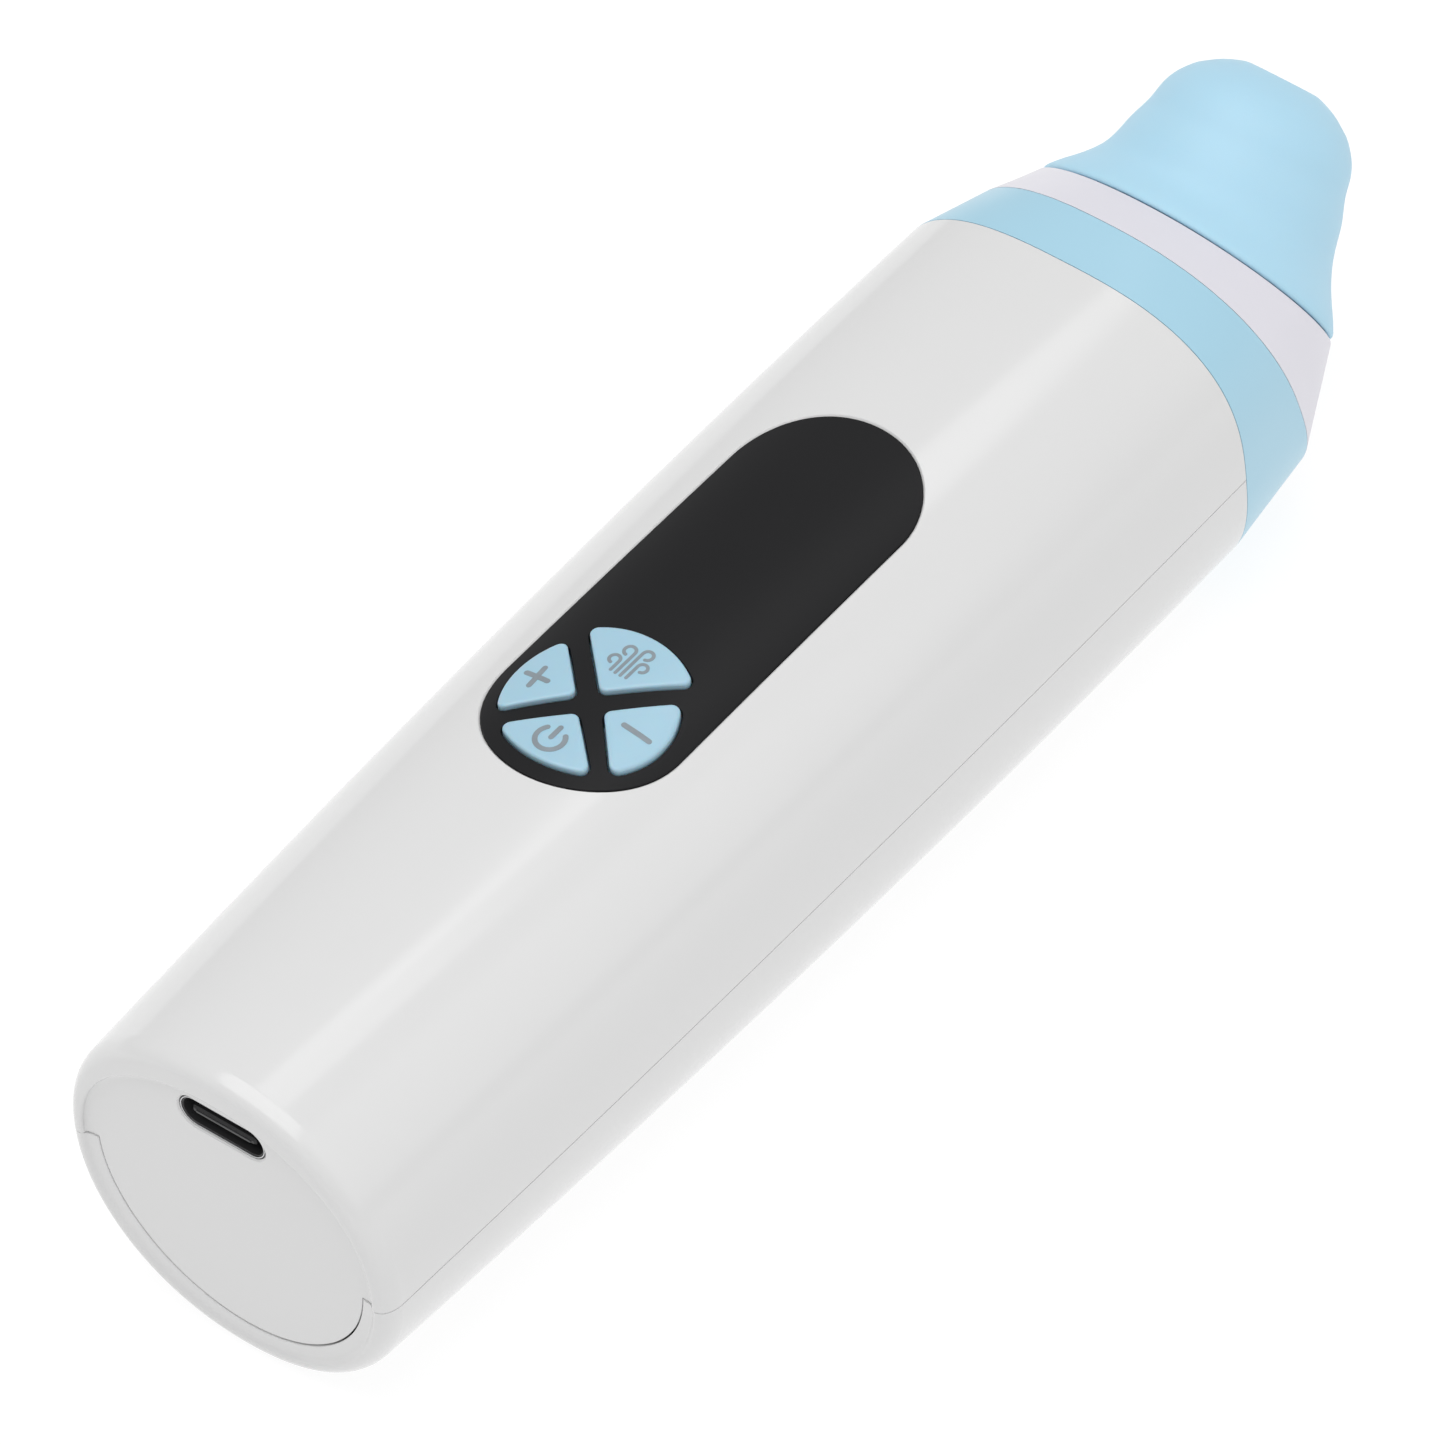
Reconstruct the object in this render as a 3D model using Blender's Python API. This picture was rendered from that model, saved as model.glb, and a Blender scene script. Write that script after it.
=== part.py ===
"""Cordless electric nasal aspirator, modelled as it comes apart on a bench.

It lies on its back with the display up and the soft nozzle towards +X. Every length is in
millimetres and is turned into metres when a mesh is made. Stations along the handle are
measured from the tail plane, x = 0, and heights from the parting plane of its two shells,
z = 0. One empty then shifts the whole object, so that it rests on the plane z = 0 of the
world, centred over the world's origin.
"""

import math

import bmesh
import bpy
from mathutils import Matrix, Vector

MM = 0.001

# Handle: its outer skin is a superellipse that swells a little and grows squarer to the front.
HANDLE_LENGTH = 112.8
TAIL_HALF_WIDTH = 17.0
WIDTH_GAIN = 1.6
TAIL_HALF_HEIGHT = 16.9
HEIGHT_DROP = 1.1
BELLY = 3.1
TAIL_POWER = 2.1
FRONT_POWER = 2.73
WALL = 2.2
FIT_GAP = 0.3
PARTING_GAP = 0.15
TAIL_EDGE = ((0.0, 1.2), (0.4, 0.5), (1.2, 0.1), (2.0, 0.0))
HANDLE_STATIONS = (18.0, 36.0, 55.0, 75.0, 95.0, HANDLE_LENGTH)
ARC_STEPS = 18
ROUND_STEPS = 16
WIDE_STEPS = 24

# Tongue of the rear shell and groove of the front shell, along the parting line.
GROOVE_DEPTH = 0.9
GROOVE_HEIGHT = 2.1
TONGUE_DEPTH = 1.2
TONGUE_HEIGHT = 1.8

# Tail end: a disc moulded on the front shell closes the hole in the rear shell's end.
DISC_RECESS = 0.6
DISC_BACK = 2.6
DISC_RADIUS = 14.0
TAIL_RECESS = (15.3, 13.7)
DISC_ROOT = (15.9, 14.9)

# Display panel and the four buttons, seen from above.
PANEL_TAIL_X = 50.0
PANEL_NOSE_X = 79.2
PANEL_RADIUS = 9.3
PANEL_THICKNESS = 1.0
WINDOW_RADIUS = 8.4
BUTTON_RADIUS = 7.65
BUTTON_BAR = 1.05
BUTTON_CORNER = 0.7
BUTTON_RAISE = 0.45
BUTTON_FLANGE = 0.45
BUTTON_CLEARANCE = 0.25
BUTTON_FLOOR = 13.5
BUTTONS = (("suction", 0.0), ("plus", 90.0), ("power", 180.0), ("minus", 270.0))

# Circuit board and what is soldered to it.
BOARD_TOP = 8.95
BOARD_THICKNESS = 1.6
BOARD_SPAN = (3.0, 98.0)
BOARD_HALF_WIDTH = 11.0
SOLDER_GAP = 0.3
SWITCH_RADIUS = 4.9
SWITCH_SIZE = 4.5
SWITCH_TOP = 12.3
PLUNGER_SPAN = (11.2, 13.2)
PLUNGER_RADIUS = 1.1
BOSS_PLACES = ((14.0, 7.0), (14.0, -7.0), (92.0, 7.0), (92.0, -7.0))
BOSS_RADIUS = 2.2
BOSS_TOP = 14.5
SCREW_RADIUS = 0.95
SCREW_HOLE = 1.25
SCREW_HEAD_RADIUS = 1.9
SCREW_HEAD_HEIGHT = 1.2
SCREW_LENGTH = 6.4

# USB-C receptacle: the standard's outer shell, 8.94 by 3.26, on the board.
USB_HEIGHT = 10.9
USB_HALF_WIDTH = 4.47
USB_HALF_HEIGHT = 1.63
USB_WALL = 0.3
USB_SPAN = (0.9, 8.2)

# Cell, motor and diaphragm pump, in line under the board.
CELL_AXIS_Z = -3.8
CELL_RADIUS = 9.15
CELL_SPAN = (4.6, 54.6)
TRAY_RADII = (9.6, 10.6)
MOTOR_AXIS_Z = -3.9
MOTOR_RADIUS = 9.0
MOTOR_WALL = 0.6
MOTOR_SPAN = (58.5, 80.5)
SHAFT_RADIUS = 1.0
SHAFT_SPAN = (59.0, 86.2)
SLEEVE_RADII = (9.3, 10.3)
SLEEVE_SPAN = (62.0, 78.0)
PUMP_RADIUS = 9.8
PIN_FOOT = (84.2, 3.6)
PIN_TIP = (90.2, 1.2)
PIN_RADIUS = 0.7
PUMP_CELLS_RADIUS = 5.2
RIB_STATIONS = (65.0, 74.0)
RIB_THICKNESS = 2.0
LEAD_RADIUS = 0.5

# Head: each joint face is a plane whose normal tilts up from +X.
COLLAR_FACE = (Vector((122.3, 0.0, -0.5)), math.radians(13.3))
COLLAR_RIM = (17.1, 16.7, 2.37)
CUP_FACE = (Vector((129.2, 0.0, 2.6)), math.radians(26.9))
CUP_RIM = (14.2, 12.7, 2.1)
HEAD_RING = 32
COLLAR_BORE = (13.95, 13.65)
COLLAR_BORE_DEPTH = 6.6
COLLAR_THROAT = (9.0, 8.2)
COLLAR_SPIGOT_X = 108.0
NECK = (13.6, 13.3)
NECK_LENGTH = 6.0
SEAL_GROOVE = (12.55, 12.25)
SEAL_GROOVE_SPAN = (-3.8, -2.2)
SEAL_SIZE = (13.28, 12.98)
SEAL_SECTION = 0.42
BOWL = (11.5, 11.2)
FRONT_NECK = (9.0, 8.2)
FRONT_NECK_BORE = (7.8, 7.0)
FRONT_NECK_LENGTH = 4.0
AIR_TUBE_RADII = (3.9, 3.3)
INLET_BORE = 1.3
NIPPLE_RADIUS = 2.0

# Nozzle: radii along its bent axis, from the flared base to the domed tip with its hole.
NOZZLE_LENGTH = 17.24
NOZZLE_TIP_TILT = math.radians(36.7)
NOZZLE_BEND_END = 0.5
NOZZLE_RADII = ((0.0, 14.2), (0.1, 12.6), (0.2, 11.5), (0.35, 10.6), (0.48, 10.2), (0.624, 9.3))
NOZZLE_DOME_POWER = 0.83
NOZZLE_BASE_SQUASH = 0.894
NOZZLE_TIP_SQUASH = 0.98
NOZZLE_WALL = 1.8
NOZZLE_HOLE = 2.4

# The world's origin is under the middle of the object, on the plane it lies on.
FRONT_END_X = 145.965
LOWEST_Z = -17.22


# ---------------------------------------------------------------- shapes

def superellipse(angle, half_width, half_height, power):
    """A point (across, up) on a superellipse."""
    across = math.cos(angle)
    up = math.sin(angle)
    return (
        math.copysign(abs(across) ** (2.0 / power) * half_width, across),
        math.copysign(abs(up) ** (2.0 / power) * half_height, up),
    )


def handle_section(x, inset=0.0):
    """Half-width, half-height and squareness of the handle's skin, moved inwards by inset."""
    t = x / HANDLE_LENGTH
    belly = BELLY * t * (1.0 - t)
    half_width = TAIL_HALF_WIDTH + WIDTH_GAIN * t + belly
    half_height = TAIL_HALF_HEIGHT - HEIGHT_DROP * t + belly
    power = TAIL_POWER + (FRONT_POWER - TAIL_POWER) * t
    return half_width - inset, half_height - inset, power


def skin_height(x, y):
    """Height of the handle's skin over a point of the plan."""
    half_width, half_height, power = handle_section(x)
    return half_height * (1.0 - (abs(y) / half_width) ** power) ** (1.0 / power)


def ring(centre, tilt, half_width, half_height, power=2.0, count=ROUND_STEPS):
    """Points of a superellipse in a plane square to an axis tilted up from +X."""
    up = Vector((-math.sin(tilt), 0.0, math.cos(tilt)))
    points = []
    for k in range(count):
        across, rise = superellipse(2.0 * math.pi * k / count, half_width, half_height, power)
        points.append(centre + Vector((0.0, across, 0.0)) + up * rise)
    return points


def upright_ring(x, y, z, radius, count):
    """A level circle of points."""
    turn = [2.0 * math.pi * k / count for k in range(count)]
    return [Vector((x + radius * math.cos(a), y + radius * math.sin(a), z)) for a in turn]


def loft(rings, cyclic=False):
    """A closed solid through rings of equal length: end caps, or the last ring back to the first."""
    mesh = bmesh.new()
    loops = [[mesh.verts.new(point) for point in points] for points in rings]
    pairs = list(zip(loops, loops[1:]))
    if cyclic:
        pairs.append((loops[-1], loops[0]))
    else:
        mesh.faces.new(loops[0])
        mesh.faces.new(loops[-1])
    count = len(loops[0])
    for first, second in pairs:
        for k in range(count):
            after = (k + 1) % count
            mesh.faces.new((first[k], first[after], second[after], second[k]))
    sides = [face for face in mesh.faces if len(face.verts) == 4]
    bmesh.ops.triangulate(mesh, faces=sides)
    bmesh.ops.recalc_face_normals(mesh, faces=mesh.faces)
    return mesh


def turned(profile, axis_z, cyclic=False, count=ROUND_STEPS):
    """A solid turned about an axis along X, from (station, radius) pairs."""
    rings = [ring(Vector((x, 0.0, axis_z)), 0.0, r, r, 2.0, count) for x, r in profile]
    return loft(rings, cyclic)


def turned_upright(profile, x, y, cyclic=False, count=12):
    """A solid turned about a vertical axis, from (height, radius) pairs."""
    return loft([upright_ring(x, y, z, r, count) for z, r in profile], cyclic)


def box(low, high):
    """A rectangular block between two corners."""
    mesh = bmesh.new()
    size = [b - a for a, b in zip(low, high)]
    middle = Vector([(a + b) / 2.0 for a, b in zip(low, high)])
    matrix = Matrix.Translation(middle) @ Matrix.Diagonal((*size, 1.0))
    bmesh.ops.create_cube(mesh, size=1.0, matrix=matrix)
    return mesh


def prism(outline, low, high):
    """A plan outline raised from one height to another."""
    return loft([[Vector((x, y, z)) for x, y in outline] for z in (low, high)])


def joined(meshes):
    """Several separate bodies in one mesh, for use as one cutter."""
    whole = bmesh.new()
    for mesh in meshes:
        data = bpy.data.meshes.new("piece")
        mesh.to_mesh(data)
        mesh.free()
        whole.from_mesh(data)
        bpy.data.meshes.remove(data)
    return whole


def stadium(radius, first=PANEL_TAIL_X, last=PANEL_NOSE_X, steps=13):
    """Plan outline with round ends about two centres on the X axis."""
    outline = []
    for centre, start in ((last, -0.5 * math.pi), (first, 0.5 * math.pi)):
        for k in range(steps + 1):
            angle = start + math.pi * k / steps
            outline.append((centre + radius * math.cos(angle), radius * math.sin(angle)))
    return outline


def quadrant(facing, grow=0.0):
    """Plan outline of one button: a quarter disc with rounded corners, grown outwards by grow."""
    corner = BUTTON_CORNER + grow
    bar = BUTTON_BAR - grow
    radius = BUTTON_RADIUS + grow
    reach = radius - corner
    spread = math.pi / 4.0 - math.asin((bar + corner) / reach)
    apex = Vector(((bar + corner) * math.sqrt(2.0), 0.0))
    low = Vector((reach * math.cos(spread), -reach * math.sin(spread)))
    high = Vector((low.x, -low.y))
    arcs = (
        (apex, corner, 0.75 * math.pi, 1.25 * math.pi, 3),
        (low, corner, 1.25 * math.pi, 2.0 * math.pi - spread, 3),
        (Vector((0.0, 0.0)), radius, -0.8 * spread, 0.8 * spread, 4),
        (high, corner, spread, 0.75 * math.pi, 3),
    )
    turn = Matrix.Rotation(facing, 2)
    outline = []
    for centre, size, start, end, steps in arcs:
        for k in range(steps + 1):
            angle = start + (end - start) * k / steps
            point = turn @ (centre + size * Vector((math.cos(angle), math.sin(angle))))
            outline.append((PANEL_TAIL_X + point.x, point.y))
    return outline


def smooth_route(knots, steps=4):
    """Points along a smooth curve through the knots."""
    ends = [knots[0] * 2.0 - knots[1], *knots, knots[-1] * 2.0 - knots[-2]]
    points = []
    for a, b, c, d in zip(ends, ends[1:], ends[2:], ends[3:]):
        for k in range(steps):
            t = k / steps
            flat = b * 2.0 + (c - a) * t
            bend = (a * 2.0 - b * 5.0 + c * 4.0 - d) * t * t
            twist = (b * 3.0 - a - c * 3.0 + d) * t * t * t
            points.append((flat + bend + twist) * 0.5)
    return [*points, knots[-1]]


# ---------------------------------------------------------------- objects

def clear_scene():
    for old in list(bpy.data.objects):
        bpy.data.objects.remove(old, do_unlink=True)


def make_frame():
    """The empty that carries every piece from handle stations to the world's origin."""
    frame = bpy.data.objects.new("aspirator_frame", None)
    frame.location = (-FRONT_END_X / 2.0 * MM, 0.0, -LOWEST_Z * MM)
    bpy.context.scene.collection.objects.link(frame)
    return frame


def finish_material(name, colour, roughness, metallic=0.0):
    material = bpy.data.materials.new(name)
    material.use_nodes = True
    shader = material.node_tree.nodes["Principled BSDF"]
    shader.inputs["Base Color"].default_value = (*colour, 1.0)
    shader.inputs["Roughness"].default_value = roughness
    shader.inputs["Metallic"].default_value = metallic
    return material


def add_object(name, data, origin):
    piece = bpy.data.objects.new(name, data)
    piece.location = Vector(origin) * MM
    piece.parent = FRAME
    bpy.context.scene.collection.objects.link(piece)
    return piece


def as_mesh(name, mesh, origin):
    """Mesh data in metres, with its own origin where the piece turns or slides."""
    bmesh.ops.translate(mesh, verts=mesh.verts, vec=-Vector(origin))
    bmesh.ops.scale(mesh, verts=mesh.verts, vec=(MM, MM, MM))
    data = bpy.data.meshes.new(name)
    mesh.to_mesh(data)
    mesh.free()
    return data


def node(name, mesh, finish, origin=(0.0, 0.0, 0.0)):
    """One named piece of the object."""
    data = as_mesh(name, mesh, origin)
    data.shade_smooth()
    data.set_sharp_from_angle(angle=math.radians(35.0))
    data.materials.append(FINISHES[finish])
    return add_object(name, data, origin)


def helper(name, mesh):
    """A shape that only cuts or adds to others."""
    tool = add_object(name, as_mesh(name, mesh, (0.0, 0.0, 0.0)), (0.0, 0.0, 0.0))
    tool.hide_render = True
    tool.display_type = "WIRE"
    return tool


def combine(piece, tool, operation):
    step = piece.modifiers.new(tool.name, "BOOLEAN")
    step.operation = operation
    step.solver = "EXACT"
    step.object = tool


def tube(name, knots, radius, finish):
    """A lead or hose whose centre line runs smoothly through the knots."""
    curve = bpy.data.curves.new(name, "CURVE")
    curve.dimensions = "3D"
    curve.bevel_depth = radius * MM
    curve.bevel_resolution = 2
    curve.use_fill_caps = True
    points = smooth_route([Vector(knot) for knot in knots])
    spline = curve.splines.new("POLY")
    spline.points.add(len(points) - 1)
    for target, point in zip(spline.points, points):
        target.co = (*(point * MM), 1.0)
    curve.materials.append(FINISHES[finish])
    return add_object(name, curve, (0.0, 0.0, 0.0))


# ---------------------------------------------------------------- handle shells

def half_arc(half_width, half_height, power, start, side):
    """Points over one half of a section, from height start on +Y to the same height on -Y."""
    rise = (abs(start) / half_height) ** (power / 2.0)
    first = math.copysign(math.asin(rise), start)
    points = []
    for k in range(ARC_STEPS + 1):
        angle = first + (math.pi - 2.0 * first) * k / ARC_STEPS
        across, up = superellipse(angle, half_width, half_height, power)
        points.append((across, side * up))
    return points


def shell_ring(x, outer, inner, side, step):
    """Section of one shell: its outer arc, its inner arc and the stepped edges between them.

    step is None for plain edges, or the depth of the step and its height above the parting plane.
    """
    over = half_arc(*outer, PARTING_GAP, side)
    level = side * PARTING_GAP
    start = PARTING_GAP if step is None else side * step[1]
    under = half_arc(*inner, start, side)
    if step is None:
        thick = outer[0] - inner[0]
        edge = [(outer[0] - thick / 3.0, level), (outer[0] - thick / 1.5, level)]
    else:
        edge = [(outer[0] - step[0], level), (outer[0] - step[0], step[1])]
    far_edge = [(-across, up) for across, up in edge]
    outline = [*over, *far_edge, *reversed(under), *reversed(edge)]
    return [Vector((x, across, up)) for across, up in outline]


def shell_half(side, tail_inner, step, plain_until):
    """One moulded half of the handle, from its rounded tail edge to the collar."""
    rings = []
    for x, inset in TAIL_EDGE:
        rings.append(shell_ring(x, handle_section(x, inset), tail_inner, side, None))
    rings.append(shell_ring(DISC_BACK, handle_section(DISC_BACK), tail_inner, side, None))
    for x in (plain_until, plain_until + 1.2, *HANDLE_STATIONS):
        edges = None if x == plain_until else step
        rings.append(shell_ring(x, handle_section(x), handle_section(x, WALL), side, edges))
    return loft(rings)


def tail_disc():
    """The end disc: its upper half is rooted in the front shell and its lower half stands free."""
    upper = half_arc(*DISC_ROOT, TAIL_POWER, PARTING_GAP * 2.0, 1.0)
    lower = half_arc(DISC_RADIUS, DISC_RADIUS, 2.0, -PARTING_GAP, -1.0)
    outline = [*upper, *reversed(lower)]
    return loft([[Vector((x, y, z)) for y, z in outline] for x in (DISC_RECESS, DISC_BACK)])


def skin_solid(inset):
    """The handle's shape, moved in by inset, over the stretch that holds the panel."""
    stations = (34.0, 46.0, 58.0, 70.0, 82.0, 94.0)
    rings = [ring(Vector((x, 0.0, 0.0)), 0.0, *handle_section(x, inset), 48) for x in stations]
    return loft(rings)


def panel_pocket():
    """What the front shell loses so that the panel can sit flush in it."""
    pocket = helper("panel_pocket", prism(stadium(PANEL_RADIUS + FIT_GAP), 10.0, 25.0))
    floor = helper("panel_pocket_floor", skin_solid(PANEL_THICKNESS + FIT_GAP))
    combine(pocket, floor, "DIFFERENCE")
    return pocket


def usb_slot():
    half = USB_HALF_HEIGHT + FIT_GAP
    reach = USB_HALF_WIDTH + FIT_GAP - half
    return stadium_tube_end(-1.0, 4.0, reach, half)


def stadium_tube_end(start, end, reach, half_height):
    """A solid stadium section along X at the receptacle's height."""
    return loft([receptacle_ring(x, reach, half_height) for x in (start, end)])


def receptacle_ring(x, reach, half_height, steps=8):
    """Section of the receptacle: two half circles joined by flats."""
    outline = stadium(half_height, -reach, reach, steps)
    return [Vector((x, across, USB_HEIGHT + up)) for across, up in outline]


def make_front_shell():
    inner = (*TAIL_RECESS, TAIL_POWER)
    shell = node("front_shell", shell_half(1.0, inner, (GROOVE_DEPTH, GROOVE_HEIGHT), 3.2),
                 "body")
    bosses = [turned_upright(((BOARD_TOP + SOLDER_GAP, BOSS_RADIUS), (BOSS_TOP, BOSS_RADIUS)), x, y)
              for x, y in BOSS_PLACES]
    holes = [turned_upright(((6.0, SCREW_HOLE), (BOSS_TOP - 1.0, SCREW_HOLE)), x, y)
             for x, y in BOSS_PLACES]
    combine(shell, helper("disc_body", tail_disc()), "UNION")
    combine(shell, helper("usb_slot", usb_slot()), "DIFFERENCE")
    combine(shell, panel_pocket(), "DIFFERENCE")
    window = prism(stadium(WINDOW_RADIUS), 10.0, 25.0)
    combine(shell, helper("panel_window", window), "DIFFERENCE")
    combine(shell, helper("screw_bosses", joined(bosses)), "UNION")
    combine(shell, helper("boss_holes", joined(holes)), "DIFFERENCE")


def cradle_rib(x):
    """A rib of the rear shell that is cut round to hold the pump's sleeve."""
    half_width, half_height, power = handle_section(x, WALL / 2.0)
    cut = SLEEVE_RADII[1] + FIT_GAP
    low = half_arc(half_width, half_height, power, 5.0, -1.0)
    opening = []
    for k in range(ARC_STEPS + 1):
        angle = -math.radians(12.0) - math.radians(156.0) * k / ARC_STEPS
        opening.append((cut * math.cos(angle), MOTOR_AXIS_Z + cut * math.sin(angle)))
    outline = [*low, *reversed(opening)]
    return loft([[Vector((s, y, z)) for y, z in outline] for s in (x, x + RIB_THICKNESS)])


def make_rear_shell():
    hole = DISC_RADIUS + FIT_GAP
    shell = node("rear_shell", shell_half(-1.0, (hole, hole, 2.0), (TONGUE_DEPTH, TONGUE_HEIGHT),
                                          4.4), "body")
    ribs = joined([cradle_rib(x) for x in RIB_STATIONS])
    combine(shell, helper("cradle_ribs", ribs), "UNION")


# ---------------------------------------------------------------- panel and buttons

def make_display_panel():
    panel = node("display_panel", prism(stadium(PANEL_RADIUS), 10.0, 25.0), "panel")
    combine(panel, helper("panel_top", skin_solid(0.0)), "INTERSECT")
    combine(panel, helper("panel_underside", skin_solid(PANEL_THICKNESS)), "DIFFERENCE")
    holes = [prism(quadrant(math.radians(facing), BUTTON_CLEARANCE), 9.0, 26.0)
             for _, facing in BUTTONS]
    combine(panel, helper("button_holes", joined(holes)), "DIFFERENCE")


def button_solid(facing):
    """A crowned cap over a wider flange that keeps it behind the panel."""
    flange = quadrant(facing, BUTTON_FLANGE)
    core = quadrant(facing)
    bevel = quadrant(facing, -0.3)
    flange_top = -PANEL_THICKNESS - FIT_GAP
    rings = [[Vector((x, y, BUTTON_FLOOR)) for x, y in flange]]
    for outline, rise in ((flange, flange_top), (core, flange_top), (core, 0.15),
                          (bevel, BUTTON_RAISE)):
        rings.append([Vector((x, y, skin_height(x, y) + rise)) for x, y in outline])
    middle = sum((Vector(point) for point in core), Vector((0.0, 0.0))) / len(core)
    crown = [middle + (Vector(point) - middle) * 0.45 for point in core]
    rings.append([Vector((p.x, p.y, skin_height(p.x, p.y) + BUTTON_RAISE)) for p in crown])
    return loft(rings)


def make_button(name, degrees):
    """A button, and under it the tact switch with the plunger that it pushes."""
    facing = math.radians(degrees)
    x = PANEL_TAIL_X + SWITCH_RADIUS * math.cos(facing)
    y = SWITCH_RADIUS * math.sin(facing)
    node("button_" + name, button_solid(facing), "button", (x, y, BUTTON_FLOOR))
    low, high = PLUNGER_SPAN
    plunger = turned_upright(((low, PLUNGER_RADIUS), (high, PLUNGER_RADIUS)), x, y)
    node("switch_plunger_" + name, plunger, "dark", (x, y, low))
    half = SWITCH_SIZE / 2.0
    floor = BOARD_TOP + SOLDER_GAP
    body = node("switch_body_" + name,
                box((x - half, y - half, floor), (x + half, y + half, SWITCH_TOP)), "steel")
    well_radius = PLUNGER_RADIUS + FIT_GAP
    well = turned_upright(((low - 0.7, well_radius), (SWITCH_TOP + 1.0, well_radius)), x, y)
    combine(body, helper("switch_well_" + name, well), "DIFFERENCE")


# ---------------------------------------------------------------- electronics

def make_board():
    low = BOARD_TOP - BOARD_THICKNESS
    board = node("main_board", box((BOARD_SPAN[0], -BOARD_HALF_WIDTH, low),
                                   (BOARD_SPAN[1], BOARD_HALF_WIDTH, BOARD_TOP)), "board")
    holes = [turned_upright(((low - 2.0, SCREW_HOLE), (BOARD_TOP + 2.0, SCREW_HOLE)), x, y)
             for x, y in BOSS_PLACES]
    combine(board, helper("board_holes", joined(holes)), "DIFFERENCE")
    head_top = low - FIT_GAP
    head_low = head_top - SCREW_HEAD_HEIGHT
    for number, (x, y) in enumerate(BOSS_PLACES, 1):
        profile = ((head_low, SCREW_HEAD_RADIUS), (head_top, SCREW_HEAD_RADIUS),
                   (head_top, SCREW_RADIUS), (head_top + SCREW_LENGTH, SCREW_RADIUS))
        node("board_screw_%d" % number, turned_upright(profile, x, y), "steel")


def make_board_parts():
    floor = BOARD_TOP + SOLDER_GAP
    node("display_module", box((61.0, -7.0, floor), (83.0, 7.0, 13.6)), "dark")
    node("controller_chip", box((22.0, -3.0, floor), (28.0, 3.0, floor + 1.0)), "dark")
    node("charger_chip", box((13.5, -2.0, floor), (17.5, 2.0, floor + 0.9)), "dark")
    node("boost_inductor", box((32.0, -2.6, floor), (37.2, 2.6, floor + 2.4)), "dark")


def make_usb_port():
    start, end = USB_SPAN
    reach = USB_HALF_WIDTH - USB_HALF_HEIGHT
    bore = USB_HALF_HEIGHT - USB_WALL
    rings = [receptacle_ring(x, reach, half)
             for x, half in ((start, USB_HALF_HEIGHT), (end, USB_HALF_HEIGHT), (end, bore),
                             (start, bore))]
    node("usb_shell", loft(rings, cyclic=True), "steel")
    block = receptacle_ring(5.6, reach, bore - FIT_GAP)
    block_end = receptacle_ring(end - 0.2, reach, bore - FIT_GAP)
    core = node("usb_tongue", loft([block, block_end]), "dark")
    tongue = box((1.7, -3.35, USB_HEIGHT - 0.35), (6.4, 3.35, USB_HEIGHT + 0.35))
    combine(core, helper("tongue_blade", tongue), "UNION")


# ---------------------------------------------------------------- battery

def make_battery():
    start, end = CELL_SPAN
    r = CELL_RADIUS
    profile = ((start, r - 0.6), (start + 0.6, r), (end - 1.4, r), (end - 0.8, r - 0.6),
               (end - 0.8, 2.6), (end, 2.4))
    node("battery_cell", turned(profile, CELL_AXIS_Z), "cell")
    inner, outer = TRAY_RADII
    steps = 16
    sweep = [math.pi + math.pi * k / steps for k in range(steps + 1)]
    outline = [(outer * math.cos(a), outer * math.sin(a)) for a in sweep]
    outline += [(inner * math.cos(a), inner * math.sin(a)) for a in reversed(sweep)]
    rings = [[Vector((x, y, CELL_AXIS_Z + z)) for y, z in outline]
             for x in (start + 2.0, end - 2.0)]
    node("battery_tray", loft(rings), "frame")
    tube("battery_lead_plus", ((56.2, 2.2, -3.8), (56.5, 2.6, -0.5), (56.3, 3.0, 3.5),
                               (56.3, 3.0, 6.9)), LEAD_RADIUS, "lead_red")
    tube("battery_lead_minus", ((3.7, -2.4, -3.8), (3.6, -2.9, -0.5), (3.7, -3.0, 3.5),
                                (3.8, -3.0, 6.9)), LEAD_RADIUS, "lead_black")


# ---------------------------------------------------------------- motor

def make_magnet(name, side):
    inner, outer, half_sweep, steps = 6.3, 8.1, math.radians(65.0), 10
    sweep = [-half_sweep + 2.0 * half_sweep * k / steps for k in range(steps + 1)]
    outline = [(outer * math.cos(a), outer * math.sin(a)) for a in sweep]
    outline += [(inner * math.cos(a), inner * math.sin(a)) for a in reversed(sweep)]
    rings = [[Vector((x, side * y, MOTOR_AXIS_Z + z)) for y, z in outline] for x in (63.0, 78.5)]
    node(name, loft(rings), "magnet")


def make_motor():
    start, end = MOTOR_SPAN
    bore = MOTOR_RADIUS - MOTOR_WALL
    hole = SHAFT_RADIUS + FIT_GAP
    face = end - 0.8
    can = ((start, MOTOR_RADIUS), (end, MOTOR_RADIUS), (end, hole), (face, hole), (face, bore),
           (start, bore))
    node("motor_can", turned(can, MOTOR_AXIS_Z, cyclic=True, count=WIDE_STEPS), "steel")
    node("motor_endcap", turned(((57.4, 8.2), (57.7, 8.7), (58.2, 8.7)), MOTOR_AXIS_Z), "dark")
    make_magnet("motor_magnet_left", 1.0)
    make_magnet("motor_magnet_right", -1.0)
    inner, outer = SLEEVE_RADII
    first, last = SLEEVE_SPAN
    sleeve = ((first, outer), (last, outer), (last, inner), (first, inner))
    node("pump_sleeve", turned(sleeve, MOTOR_AXIS_Z, cyclic=True, count=WIDE_STEPS), "rubber")
    for name, side in (("motor_lead_left", 1.0), ("motor_lead_right", -1.0)):
        knots = ((56.8, 5.2 * side, -1.5), (56.6, 5.6 * side, 1.5), (56.9, 6.0 * side, 4.5),
                 (57.0, 6.0 * side, 6.9))
        tube(name, knots, LEAD_RADIUS, "lead_red" if side > 0.0 else "lead_black")


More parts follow.
